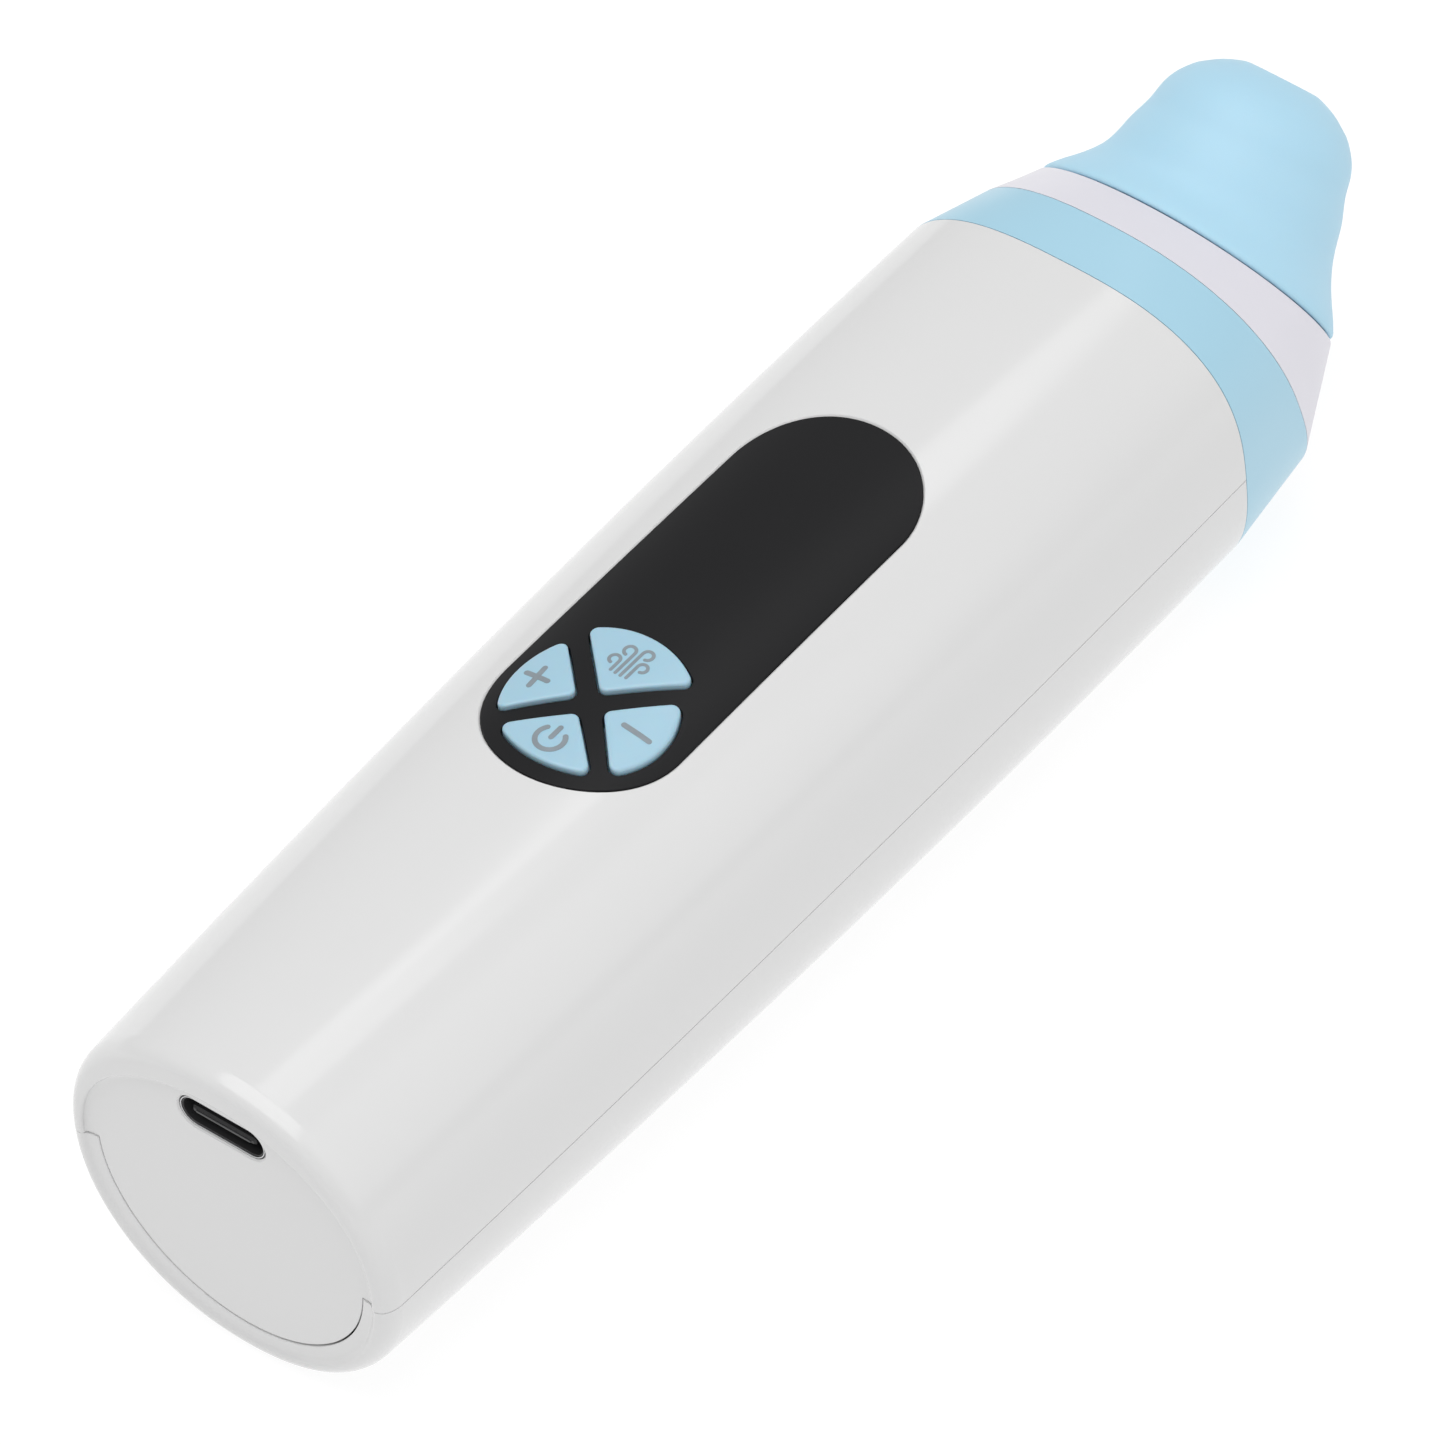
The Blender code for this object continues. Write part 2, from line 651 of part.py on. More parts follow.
def make_rotor():
    """Everything that turns with the shaft, each with its origin on the motor's axis."""
    axis = (SHAFT_SPAN[0], 0.0, MOTOR_AXIS_Z)
    hole = SHAFT_RADIUS + FIT_GAP
    shaft = ((SHAFT_SPAN[0], SHAFT_RADIUS), (SHAFT_SPAN[1], SHAFT_RADIUS))
    node("motor_shaft", turned(shaft, MOTOR_AXIS_Z), "steel", axis)
    core = ((65.0, 5.6), (76.5, 5.6), (76.5, hole), (65.0, hole))
    node("rotor_core", turned(core, MOTOR_AXIS_Z, cyclic=True), "magnet", axis)
    commutator = ((60.2, 2.6), (63.0, 2.6), (63.0, hole), (60.2, hole))
    node("commutator", turned(commutator, MOTOR_AXIS_Z, cyclic=True), "brass", axis)
    hub_profile = ((83.0, 5.6), (86.6, 5.6), (86.6, hole), (83.0, hole))
    hub = node("eccentric_hub", turned(hub_profile, MOTOR_AXIS_Z, cyclic=True), "frame", axis)
    foot = Vector((PIN_FOOT[0], 0.0, MOTOR_AXIS_Z + PIN_FOOT[1]))
    tip = Vector((PIN_TIP[0], 0.0, MOTOR_AXIS_Z + PIN_TIP[1]))
    along = (tip - foot).normalized()
    tilt = math.atan2(along.z, along.x)
    pin = [ring(point, tilt, PIN_RADIUS, PIN_RADIUS) for point in (foot, tip)]
    node("drive_pin", loft(pin), "steel", axis)
    well_radius = PIN_RADIUS + FIT_GAP
    well = [ring(point, tilt, well_radius, well_radius)
            for point in (foot - along * 0.4, foot + along * 4.0)]
    combine(hub, helper("pin_well", loft(well)), "DIFFERENCE")


# ---------------------------------------------------------------- pump

def pump_cells(start, end, radius):
    """Three short cylinders about the pump's axis, one for each working chamber."""
    bodies = []
    for k in range(3):
        angle = 2.0 * math.pi * k / 3.0 + math.pi / 2.0
        centre_y = PUMP_CELLS_RADIUS * math.cos(angle)
        centre_z = MOTOR_AXIS_Z + PUMP_CELLS_RADIUS * math.sin(angle)
        rings = [ring(Vector((x, centre_y, centre_z)), 0.0, radius, radius, 2.0, 12)
                 for x in (start, end)]
        bodies.append(loft(rings))
    return bodies


def lobed_ring(x, radius, lobe, count=36):
    """A level-sided three-lobed outline about the pump's axis."""
    points = []
    for k in range(count):
        angle = 2.0 * math.pi * k / count
        r = radius + lobe * math.cos(3.0 * (angle - math.pi / 2.0))
        points.append(Vector((x, r * math.cos(angle), MOTOR_AXIS_Z + r * math.sin(angle))))
    return points


def make_pump():
    r = PUMP_RADIUS
    base = ((80.8, r), (91.6, r), (91.6, 8.9), (82.4, 8.9), (82.4, 3.2), (80.8, 3.2))
    node("pump_base", turned(base, MOTOR_AXIS_Z, cyclic=True, count=WIDE_STEPS), "frame")
    plate = [lobed_ring(88.6, 6.9, 1.3), lobed_ring(90.2, 6.9, 1.3), lobed_ring(90.2, 2.9, 0.0),
             lobed_ring(88.6, 2.9, 0.0)]
    node("wobble_plate", loft(plate, cyclic=True), "frame")
    diaphragm = node("diaphragm", turned(((91.9, r), (92.7, r)), MOTOR_AXIS_Z, count=WIDE_STEPS), "rubber")
    combine(diaphragm, helper("diaphragm_cups", joined(pump_cells(90.6, 92.3, 2.4))), "UNION")
    valves = node("valve_plate", turned(((93.0, r), (95.0, r)), MOTOR_AXIS_Z, count=WIDE_STEPS), "frame")
    combine(valves, helper("valve_ports", joined(pump_cells(92.0, 96.0, 1.2))), "DIFFERENCE")
    cover = ((95.3, r), (98.6, r), (98.6, NIPPLE_RADIUS), (104.0, NIPPLE_RADIUS),
             (104.0, INLET_BORE - 0.2), (97.2, INLET_BORE - 0.2), (97.2, 8.6), (95.3, 8.6))
    node("pump_cover", turned(cover, MOTOR_AXIS_Z, cyclic=True, count=WIDE_STEPS), "frame")


# ---------------------------------------------------------------- head

def along_head(face, distance):
    """A point on the axis of a joint face, ahead of it when distance is positive."""
    centre, tilt = face
    return centre + Vector((math.cos(tilt), 0.0, math.sin(tilt))) * distance


def head_rings(face, profile, count=HEAD_RING):
    """Rings square to a joint face's axis, from (distance, half-width, half-height, power)."""
    return [ring(along_head(face, s), face[1], a, b, n, count) for s, a, b, n in profile]


def make_collar():
    """The blue ring: it plugs into both shells and holds the cup's neck."""
    half_width, half_height, power = handle_section(HANDLE_LENGTH)
    step = WALL + FIT_GAP
    start = HANDLE_LENGTH + FIT_GAP
    outer = Vector((start, 0.0, 0.0))
    spigot = Vector((COLLAR_SPIGOT_X, 0.0, 0.0))
    throat = Vector((COLLAR_SPIGOT_X, 0.0, along_head(COLLAR_FACE, -14.7).z))
    depth = COLLAR_BORE_DEPTH
    rings = [
        ring(outer, 0.0, half_width - step, half_height - step, power, HEAD_RING),
        ring(outer, 0.0, half_width, half_height, power, HEAD_RING),
        *head_rings(COLLAR_FACE, ((0.0, *COLLAR_RIM), (0.0, *COLLAR_BORE, 2.2),
                                  (-depth, *COLLAR_BORE, 2.2), (-depth, *COLLAR_THROAT, 2.2))),
        ring(throat, 0.0, *COLLAR_THROAT, 2.2, HEAD_RING),
        ring(spigot, 0.0, half_width - step, half_height - step, power, HEAD_RING),
    ]
    node("collar_ring", loft(rings, cyclic=True), "blue")


def make_bulkhead():
    """The wall behind the cup, with the air spigot ahead of it and the hose nipple behind."""
    profile = ((-10.8, 3.0), (-1.5, 3.0), (-1.5, INLET_BORE), (-16.0, INLET_BORE),
               (-16.0, NIPPLE_RADIUS), (-12.5, NIPPLE_RADIUS))
    rings = head_rings(COLLAR_FACE, [(s, r, r, 2.0) for s, r in profile], WIDE_STEPS)
    wall = head_rings(COLLAR_FACE, ((-12.5, 8.6, 7.7, 2.2), (-10.8, 8.6, 7.7, 2.2)),
                      WIDE_STEPS)
    node("inlet_bulkhead", loft([*rings, *wall], cyclic=True), "frame")
    felt = ((-10.4, 8.3, 7.4, 2.2), (-8.4, 8.3, 7.4, 2.2), (-8.4, 3.4, 3.4, 2.0),
            (-10.4, 3.4, 3.4, 2.0))
    node("filter_felt", loft(head_rings(COLLAR_FACE, felt, WIDE_STEPS), cyclic=True), "felt")


def make_inlet_hose():
    """The silicone hose from the pump's nipple to the bulkhead's."""
    stations = [(Vector((99.0, 0.0, MOTOR_AXIS_Z)), 0.0), (Vector((103.6, 0.0, MOTOR_AXIS_Z)), 0.0)]
    tilt = COLLAR_FACE[1]
    stations.append((along_head(COLLAR_FACE, -16.2), tilt * 0.7))
    stations.append((along_head(COLLAR_FACE, -12.9), tilt))
    outer = [ring(centre, angle, 3.4, 3.4) for centre, angle in stations]
    inner = [ring(centre, angle, 2.4, 2.4) for centre, angle in reversed(stations)]
    node("inlet_hose", loft([*outer, *inner], cyclic=True), "silicone")


def make_cup():
    """The collection cup: the white ring outside, a bowl with a central air tube inside."""
    near, far = SEAL_GROOVE_SPAN
    back = -NECK_LENGTH
    floor = back + 1.2
    tube_outer, tube_inner = AIR_TUBE_RADII
    rear = head_rings(COLLAR_FACE, (
        (back, *NECK, 2.2), (near, *NECK, 2.2), (near, *SEAL_GROOVE, 2.2),
        (far, *SEAL_GROOVE, 2.2), (far, *NECK, 2.2), (FIT_GAP, *NECK, 2.2), (FIT_GAP, *COLLAR_RIM)))
    front = head_rings(CUP_FACE, (
        (0.0, *CUP_RIM), (0.0, *FRONT_NECK, 2.0), (FRONT_NECK_LENGTH, *FRONT_NECK, 2.0),
        (FRONT_NECK_LENGTH, *FRONT_NECK_BORE, 2.0), (-0.4, *FRONT_NECK_BORE, 2.0)))
    bowl = head_rings(COLLAR_FACE, (
        (2.2, *BOWL, 2.2), (floor, *BOWL, 2.2), (floor, tube_outer, tube_outer, 2.0),
        (3.4, tube_outer, tube_outer, 2.0), (3.4, tube_inner, tube_inner, 2.0),
        (back, tube_inner, tube_inner, 2.0)))
    node("collection_cup", loft([*rear, *front, *bowl], cyclic=True), "cup", COLLAR_FACE[0])
    middle = (near + far) / 2.0
    section = []
    for k in range(8):
        angle = 2.0 * math.pi * k / 8.0
        grow = SEAL_SECTION * math.sin(angle)
        section.append((middle + SEAL_SECTION * math.cos(angle), SEAL_SIZE[0] + grow,
                        SEAL_SIZE[1] + grow, 2.2))
    node("cup_seal", loft(head_rings(COLLAR_FACE, section), cyclic=True), "rubber",
         COLLAR_FACE[0])


def nozzle_radius(share):
    """Radius of the nozzle at a share of its length: straight stretches, then a dome."""
    dome_start, dome_radius = NOZZLE_RADII[-1]
    if share >= dome_start:
        rise = min(1.0, (share - dome_start) / (1.0 - dome_start))
        return dome_radius * math.cos(math.asin(rise)) ** NOZZLE_DOME_POWER
    for (start, first), (end, last) in zip(NOZZLE_RADII, NOZZLE_RADII[1:]):
        if share <= end:
            return first + (last - first) * (share - start) / (end - start)
    return dome_radius


def nozzle_blend(share):
    """How far the bend and the change from oval to round have gone, 0 to 1."""
    t = min(1.0, share / NOZZLE_BEND_END)
    return t * t * (3.0 - 2.0 * t)


def nozzle_place(share):
    """Centre and tilt of the nozzle's axis at a share of its length."""
    centre = CUP_FACE[0].copy()
    steps = 40
    for k in range(steps):
        tilt = nozzle_tilt(share * (k + 0.5) / steps)
        centre += Vector((math.cos(tilt), 0.0, math.sin(tilt))) * (NOZZLE_LENGTH * share / steps)
    return centre, nozzle_tilt(share)


def nozzle_tilt(share):
    return CUP_FACE[1] + (NOZZLE_TIP_TILT - CUP_FACE[1]) * nozzle_blend(share)


def nozzle_ring(share, radius):
    centre, tilt = nozzle_place(share)
    squash = NOZZLE_BASE_SQUASH + (NOZZLE_TIP_SQUASH - NOZZLE_BASE_SQUASH) * nozzle_blend(share)
    return ring(centre, tilt, radius, radius * squash, 2.0, HEAD_RING)


def dome_share(radius):
    """Share of the length at which the dome has narrowed to a radius."""
    dome_start, dome_radius = NOZZLE_RADII[-1]
    rise = math.sqrt(1.0 - (radius / dome_radius) ** (2.0 / NOZZLE_DOME_POWER))
    return dome_start + (1.0 - dome_start) * rise


def make_nozzle():
    """The soft tip: a socket over the cup's neck, a chamber and a round hole at the end."""
    base = FIT_GAP / NOZZLE_LENGTH
    hole_share = dome_share(NOZZLE_HOLE)
    shares = [base, 0.1, 0.2, 0.35, 0.48, 0.624, 0.74, 0.84, 0.92, dome_share(4.6), hole_share]
    outer = [nozzle_ring(share, nozzle_radius(share)) for share in shares]
    chamber = [nozzle_ring(hole_share - 0.1, NOZZLE_HOLE)]
    for share in (0.86, 0.78, 0.68, 0.58, 0.46, 0.36):
        inner = nozzle_radius(min(1.0, share + 0.04)) - NOZZLE_WALL
        chamber.append(nozzle_ring(share, max(inner, NOZZLE_HOLE)))
    socket = head_rings(CUP_FACE, ((FRONT_NECK_LENGTH + FIT_GAP, 9.3, 8.5, 2.0),
                                   (FIT_GAP, 9.3, 8.5, 2.0)))
    node("nozzle_tip", loft([*outer, *chamber, *socket], cyclic=True), "silicone", CUP_FACE[0])


# ---------------------------------------------------------------- the object

clear_scene()
FRAME = make_frame()
FINISHES = {
    "body": finish_material("white_gloss_abs", (0.78, 0.79, 0.81), 0.28),
    "blue": finish_material("pale_blue_abs", (0.42, 0.65, 0.77), 0.4),
    "cup": finish_material("white_pp", (0.76, 0.76, 0.82), 0.4),
    "silicone": finish_material("pale_blue_silicone", (0.48, 0.75, 0.88), 0.6),
    "panel": finish_material("black_pmma", (0.02, 0.02, 0.022), 0.3),
    "button": finish_material("blue_keycap", (0.4, 0.62, 0.74), 0.3),
    "board": finish_material("green_fr4", (0.02, 0.16, 0.07), 0.45),
    "steel": finish_material("bright_steel", (0.62, 0.62, 0.63), 0.3, 1.0),
    "dark": finish_material("black_resin", (0.03, 0.03, 0.03), 0.5),
    "frame": finish_material("grey_pom", (0.55, 0.55, 0.56), 0.5),
    "cell": finish_material("teal_pvc_wrap", (0.05, 0.3, 0.33), 0.35),
    "magnet": finish_material("ferrite", (0.08, 0.08, 0.09), 0.6),
    "brass": finish_material("copper_brass", (0.72, 0.45, 0.2), 0.35, 1.0),
    "rubber": finish_material("black_nbr", (0.04, 0.04, 0.04), 0.8),
    "felt": finish_material("white_felt", (0.7, 0.7, 0.68), 0.95),
    "lead_red": finish_material("red_pvc", (0.5, 0.03, 0.03), 0.45),
    "lead_black": finish_material("black_pvc", (0.03, 0.03, 0.03), 0.45),
}
make_front_shell()
make_rear_shell()
make_display_panel()
for button_name, button_facing in BUTTONS:
    make_button(button_name, button_facing)
make_board()
make_board_parts()
make_usb_port()
make_battery()
make_motor()
make_rotor()
make_pump()
make_collar()
make_bulkhead()
make_inlet_hose()
make_cup()
make_nozzle()
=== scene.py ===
import math

import bmesh
import bpy
import numpy as np
from mathutils import Matrix, Vector
from mathutils.geometry import delaunay_2d_cdt


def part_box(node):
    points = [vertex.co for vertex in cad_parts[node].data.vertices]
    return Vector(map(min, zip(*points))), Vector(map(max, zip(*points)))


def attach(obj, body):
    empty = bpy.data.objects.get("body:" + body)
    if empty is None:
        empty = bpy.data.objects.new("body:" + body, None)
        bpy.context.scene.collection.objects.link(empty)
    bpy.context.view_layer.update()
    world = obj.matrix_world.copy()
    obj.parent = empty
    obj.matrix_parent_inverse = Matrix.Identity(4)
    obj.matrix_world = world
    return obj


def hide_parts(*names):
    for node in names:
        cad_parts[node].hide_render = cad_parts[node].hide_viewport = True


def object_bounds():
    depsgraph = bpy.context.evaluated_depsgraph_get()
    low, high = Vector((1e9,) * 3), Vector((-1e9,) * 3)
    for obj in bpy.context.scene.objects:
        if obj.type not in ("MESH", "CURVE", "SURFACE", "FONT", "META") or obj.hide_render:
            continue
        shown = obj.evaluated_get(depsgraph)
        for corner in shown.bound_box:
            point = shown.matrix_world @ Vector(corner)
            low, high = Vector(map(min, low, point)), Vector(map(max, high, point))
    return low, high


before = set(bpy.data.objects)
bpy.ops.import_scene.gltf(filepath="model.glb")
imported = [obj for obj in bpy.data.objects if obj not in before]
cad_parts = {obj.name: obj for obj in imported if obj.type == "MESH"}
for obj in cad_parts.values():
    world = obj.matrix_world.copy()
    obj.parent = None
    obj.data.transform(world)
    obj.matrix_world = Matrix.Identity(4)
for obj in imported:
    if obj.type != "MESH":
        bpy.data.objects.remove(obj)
cad_low, cad_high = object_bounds()

# Cordless electric nasal aspirator: the finished surfaces round the fixed CAD frame.
# Lengths are in millimetres in the handle's own coordinates: x from the tail plane towards
# the nozzle, z from the parting plane of the two shells. ORIGIN carries them into the frame.
# A size of two or three numbers is a half-width, a half-height and the outline's squareness: 2
# is an ellipse and more is squarer.

MM = 0.001

# Handle skin, as in the CAD.
HANDLE_LENGTH = 112.8
TAIL_HALF_WIDTH = 17.0
WIDTH_GAIN = 1.6
TAIL_HALF_HEIGHT = 16.9
HEIGHT_DROP = 1.1
BELLY = 3.1
TAIL_POWER = 2.1
FRONT_POWER = 2.73
WALL = 2.2
BOARD_TOP = 8.95

# Seams as they look on the moulded object, and the small radii beside them.
# The parting line sinks on the -Y side towards the tail. SHARES are places between two ends.
PARTING_GAP = 0.035
PARTING_EDGE = 0.07
TAIL_PARTING_EDGE = 0.02
PARTING_DROP = 1.5
PARTING_LEVEL_X = 105.0
PARTING_CURVE = 1.8
SEAM_GAP = 0.035
SEAM_EDGE = 0.05
EDGE = 0.1
ARC_STEPS = 96
FINE_RING = 160
MEDIUM_RING = 96
ROUND_SHARES = (0.33, 0.67, 1.0)
SHELL_PITCH = 1.5

# Tail: outer edge radii, recess with its lip and foot, and the disc. The rear shell's rim slopes
# in by REAR_STEP, a depth and a width, to the disc's hole at REAR_SLOPE. SHELL_STARTS says where
# each half's plain wall begins, by its side, and GROOVE and TONGUE are an inset from the skin and
# a height.
TAIL_EDGE_DEPTH = 2.0
TAIL_EDGE_INSET = 1.3
RECESS = (15.3, 13.7)
RECESS_LIP = 0.3
RECESS_FOOT = 0.9
DISC_FACE = 0.6
DISC_BACK = 2.6
DISC_RADIUS = 14.0
DISC_ROOT = (15.9, 14.9)
DISC_GAP = 0.07
DISC_SHIFT = 0.045
REAR_SLOPE = 0.5
REAR_STEP = (0.42, 0.75)
REAR_EASE = 0.3
PARTING_FACE_SHARES = (0.4, 0.7)
SHELL_STARTS = {1.0: 3.2, -1.0: 4.4}
GROOVE = (0.9, 2.1)
TONGUE = (1.2, 1.8)

# Panel and buttons. The panel's ends are round about PANEL_TAIL_X and PANEL_NOSE_X.
PANEL_TAIL_X = 49.6
PANEL_NOSE_X = 79.2
PANEL_RADIUS = 9.2
PANEL_TAPER = 0.978
PANEL_THICKNESS = 1.0
PANEL_GAP = 0.05
PANEL_CHAMFER = 0.16
POCKET_DEPTH = 1.3
WINDOW_RADIUS = 8.4
CUTTER_SPAN = (10.0, 25.0)
HOLE_EDGE = 0.12
PANEL_PITCH = 0.75
PANEL_MARGIN = 0.4
BUTTON_CORNER = 0.7
BUTTON_RAISE = 0.45
BUTTON_ROUND = 0.32
BUTTON_FLANGE = 0.45
BUTTON_HOLE = 0.14
BUTTON_FLOOR = 13.5
FLANGE_CLEARANCE = 0.3
SHOULDER_START = 0.3
CROWN_SHARES = (0.9, 0.78, 0.64, 0.5, 0.36, 0.22, 0.1)
# Each button: the way it faces, where its sides would meet, how far its tip, its arc and its
# outer corners lie from there, and half the angle between its sides.
BUTTONS = {
    "suction": (0.0, 49.5, 1.6, 8.53, 5.17, 46.2),
    "plus": (90.0, 49.5, 1.735, 7.81, 4.23, 43.8),
    "power": (180.0, 49.5, 1.765, 7.37, 4.37, 47.4),
    "minus": (270.0, 49.3, 1.885, 7.65, 4.27, 46.7),
}
ICON_HEIGHT = 0.02
ICON_DEPTH = 0.05

# Circuit board bosses, the cradle ribs inside the shells, and the degrees below level at which a
# rib's opening starts.
BOSS_PLACES = ((14.0, 7.0), (14.0, -7.0), (92.0, 7.0), (92.0, -7.0))
BOSS_SPAN = (9.25, 14.5)
BOSS_RADIUS = 2.2
BOSS_HOLE = 1.25
BOSS_HOLE_ENDS = (3.0, 1.0)
RIB_STATIONS = (65.0, 74.0)
RIB_THICKNESS = 2.0
RIB_OPENING = 10.6
RIB_SHOULDER = 12.0
RIB_TOP = 5.0
MOTOR_AXIS_Z = -3.9

# USB-C receptacle. The rows of its bars are a place along X, a half-width and a half-height.
USB_HEIGHT = 10.62
USB_ASIDE = -0.45
USB_HALF_WIDTH = 4.47
USB_HALF_HEIGHT = 1.63
USB_SPAN = (0.75, 8.2)
USB_WALL = 0.1
USB_SHADE_LINER = 0.14
USB_SLOT_GAP = 0.12
USB_SLOT_CHAMFER = 0.14
USB_SLOT_END = 4.0
USB_SHADE_LINER_START = 0.12
USB_SHADE_LINER_FLOOR = 5.6
USB_BAR_POWER = 9.0
BLADE = ((0.95, 3.2, 0.18), (1.15, 3.35, 0.35), (6.0, 3.35, 0.35))
MID_PLATE = ((0.84, 2.85, 0.1), (0.88, 2.9, 0.14), (1.1, 2.9, 0.14))

# Head: joint faces tilt up from +X, and a profile's row is a distance along the face's axis with
# a half-width and a half-height.
COLLAR_FACE = (Vector((122.3, 0.0, -0.5)), math.radians(13.3))
COLLAR_RIM = (17.1, 16.7, 2.37)
CUP_FACE = (Vector((129.2, 0.0, 2.6)), math.radians(26.9))
CUP_RIM = (14.8, 12.75, 2.1)
CUP_RIM_SIDE = 0.2
CUP_RIM_SADDLE = 0.37
COLLAR_BORE = (13.95, 13.65)
COLLAR_BORE_DEPTH = 6.6
COLLAR_THROAT = (9.0, 8.2)
COLLAR_THROAT_DROP = 14.7
COLLAR_SPIGOT_X = 108.0
SPIGOT_STEP = 2.5
NECK = (13.6, 13.3)
NECK_POWER = 2.2
NECK_LENGTH = 6.0
SEAL_GROOVE = (12.55, 12.25)
SEAL_GROOVE_SPAN = (-3.8, -2.2)
SEAL_SIZE = (13.28, 12.98)
SEAL_SECTION = 0.42
BAND_SHARES = (0.2, 0.4, 0.6, 0.8)
BOWL = (11.5, 11.2)
BOWL_TOP = 2.2
FRONT_NECK = (9.0, 8.2)
FRONT_NECK_BORE = (7.8, 7.0)
FRONT_NECK_LENGTH = 4.0
FLOOR_THICKNESS = 1.2
AIR_TUBE_RADII = (3.9, 3.3)
AIR_TUBE_TOP = 3.4
INLET_BORE = 1.3
NIPPLE_RADIUS = 2.0
BULKHEAD = (8.6, 7.7)
FELT = (8.3, 7.4)

# Nozzle. Its radii are given at shares of its length, as far as the dome. The lip swells by a share
# of the length inside a radius, and the base's sideways bend has settled at NOZZLE_SETTLE.
NOZZLE_GAP = 0.13
NOZZLE_LENGTH = 17.3
NOZZLE_LIP = (0.01, 6.0)
NOZZLE_TIP_TILT = math.radians(36.7)
NOZZLE_BEND_END = 0.5
NOZZLE_RADII = ((0.0, 14.7), (0.04, 14.8), (0.08, 14.15), (0.13, 13.35), (0.2, 12.3), (0.3, 11.15),
                (0.4, 10.57), (0.48, 10.27), (0.624, 9.3))
NOZZLE_DOME_POWER = 0.86
NOZZLE_BASE_SQUASH = 0.858
NOZZLE_TIP_SQUASH = 0.98
NOZZLE_WALL = 1.8
NOZZLE_HOLE = 2.4
NOZZLE_SOFTENING = 0.07
NOZZLE_SETTLE = 0.3
CHAMBER_SHARES = (0.88, 0.86, 0.83, 0.78, 0.73, 0.68, 0.63, 0.58, 0.52, 0.46, 0.41, 0.36)
SOCKET = (9.3, 8.5)
SOCKET_CLEARANCE = 0.3

# Camera: bearing, height and roll in degrees, what it looks at, how far that is shifted across
# and up, how far away it stands and its focal length.
CAMERA_TURN = (-46.579, 47.279, -6.418)
CAMERA_TARGET = Vector((65.4, 0.0, 0.0))
CAMERA_SHIFT = (-0.327, 0.44)
CAMERA_DISTANCE = 1195.9
CAMERA_LENS = 356.43

ORIGIN = Vector((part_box("front_shell")[0].x, 0.0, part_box("main_board")[1].z - BOARD_TOP * MM))


# ---------------------------------------------------------------- shapes

def superellipse(angle, half_width, half_height, power):
    """A point (across, up) on a superellipse."""
    across = math.cos(angle)
    up = math.sin(angle)
    return (
        math.copysign(abs(across) ** (2.0 / power) * half_width, across),
        math.copysign(abs(up) ** (2.0 / power) * half_height, up),
    )


def handle_section(x, inset=0.0):
    """Half-width, half-height and squareness of the handle's skin, moved inwards by inset."""
    t = x / HANDLE_LENGTH
    belly = BELLY * t * (1.0 - t)
    half_width = TAIL_HALF_WIDTH + WIDTH_GAIN * t + belly
    half_height = TAIL_HALF_HEIGHT - HEIGHT_DROP * t + belly
    power = TAIL_POWER + (FRONT_POWER - TAIL_POWER) * t
    return half_width - inset, half_height - inset, power


def skin_height(x, y):
    """Height of the handle's skin over a point of the plan."""
    half_width, half_height, power = handle_section(x)
    return half_height * (1.0 - (abs(y) / half_width) ** power) ** (1.0 / power)


def ring(centre, tilt, half_width, half_height, power=2.0, count=FINE_RING):
    """Points of a superellipse in a plane square to an axis tilted up from +X."""
    up = Vector((-math.sin(tilt), 0.0, math.cos(tilt)))
    points = []
    for k in range(count):
        across, rise = superellipse(2.0 * math.pi * k / count, half_width, half_height, power)
        points.append(centre + Vector((0.0, across, 0.0)) + up * rise)
    return points


def head_ring(face, distance, half_width, half_height, power=2.0, count=FINE_RING):
    """A ring square to a joint face's axis, ahead of the face when distance is positive."""
    centre, tilt = face
    place = centre + Vector((math.cos(tilt), 0.0, math.sin(tilt))) * distance
    return ring(place, tilt, half_width, half_height, power, count)


def grown(size, by):
    """A size with its half-width and half-height made larger, and its squareness kept."""
    return size[0] + by, size[1] + by, *size[2:]


def head_rings(face, profile, power=2.0, count=FINE_RING):
    """Rings along a joint face's axis, one for each row of a profile."""
    return [head_ring(face, *row, power, count) for row in profile]


def head_corner(face, profile, power=2.0, steps=4):
    """Rings that round the corner in a profile of three rows."""
    return eased(*head_rings(face, profile, power), steps)


def saddled(points, weight=1.0):
    """A ring at the cup's front face, moved aside and bent back a little at its two ends."""
    tilt = CUP_FACE[1]
    axis = Vector((math.cos(tilt), 0.0, math.sin(tilt)))
    widest = CUP_RIM[0]
    bent = []
    for point in points:
        sink = CUP_RIM_SADDLE * (point.y / widest) ** 2
        bent.append(point + (Vector((0.0, CUP_RIM_SIDE, 0.0)) - axis * sink) * weight)
    return bent


def upright_ring(x, y, z, radius, count=32):
    """A level circle of points."""
    turn = [2.0 * math.pi * k / count for k in range(count)]
    return [Vector((x + radius * math.cos(a), y + radius * math.sin(a), z)) for a in turn]


def mixed(first, last, share):
    """The ring at a share of the straight way from one ring to another."""
    return [a.lerp(b, share) for a, b in zip(first, last)]


def eased(first, corner, last, steps=4):
    """Rings that round a corner, on a parabola that starts and ends along its two sides."""
    rings = []
    for k in range(steps + 1):
        t = k / steps
        rings.append([a * (1.0 - t) ** 2 + b * 2.0 * t * (1.0 - t) + c * t * t
                      for a, b, c in zip(first, corner, last)])
    return rings


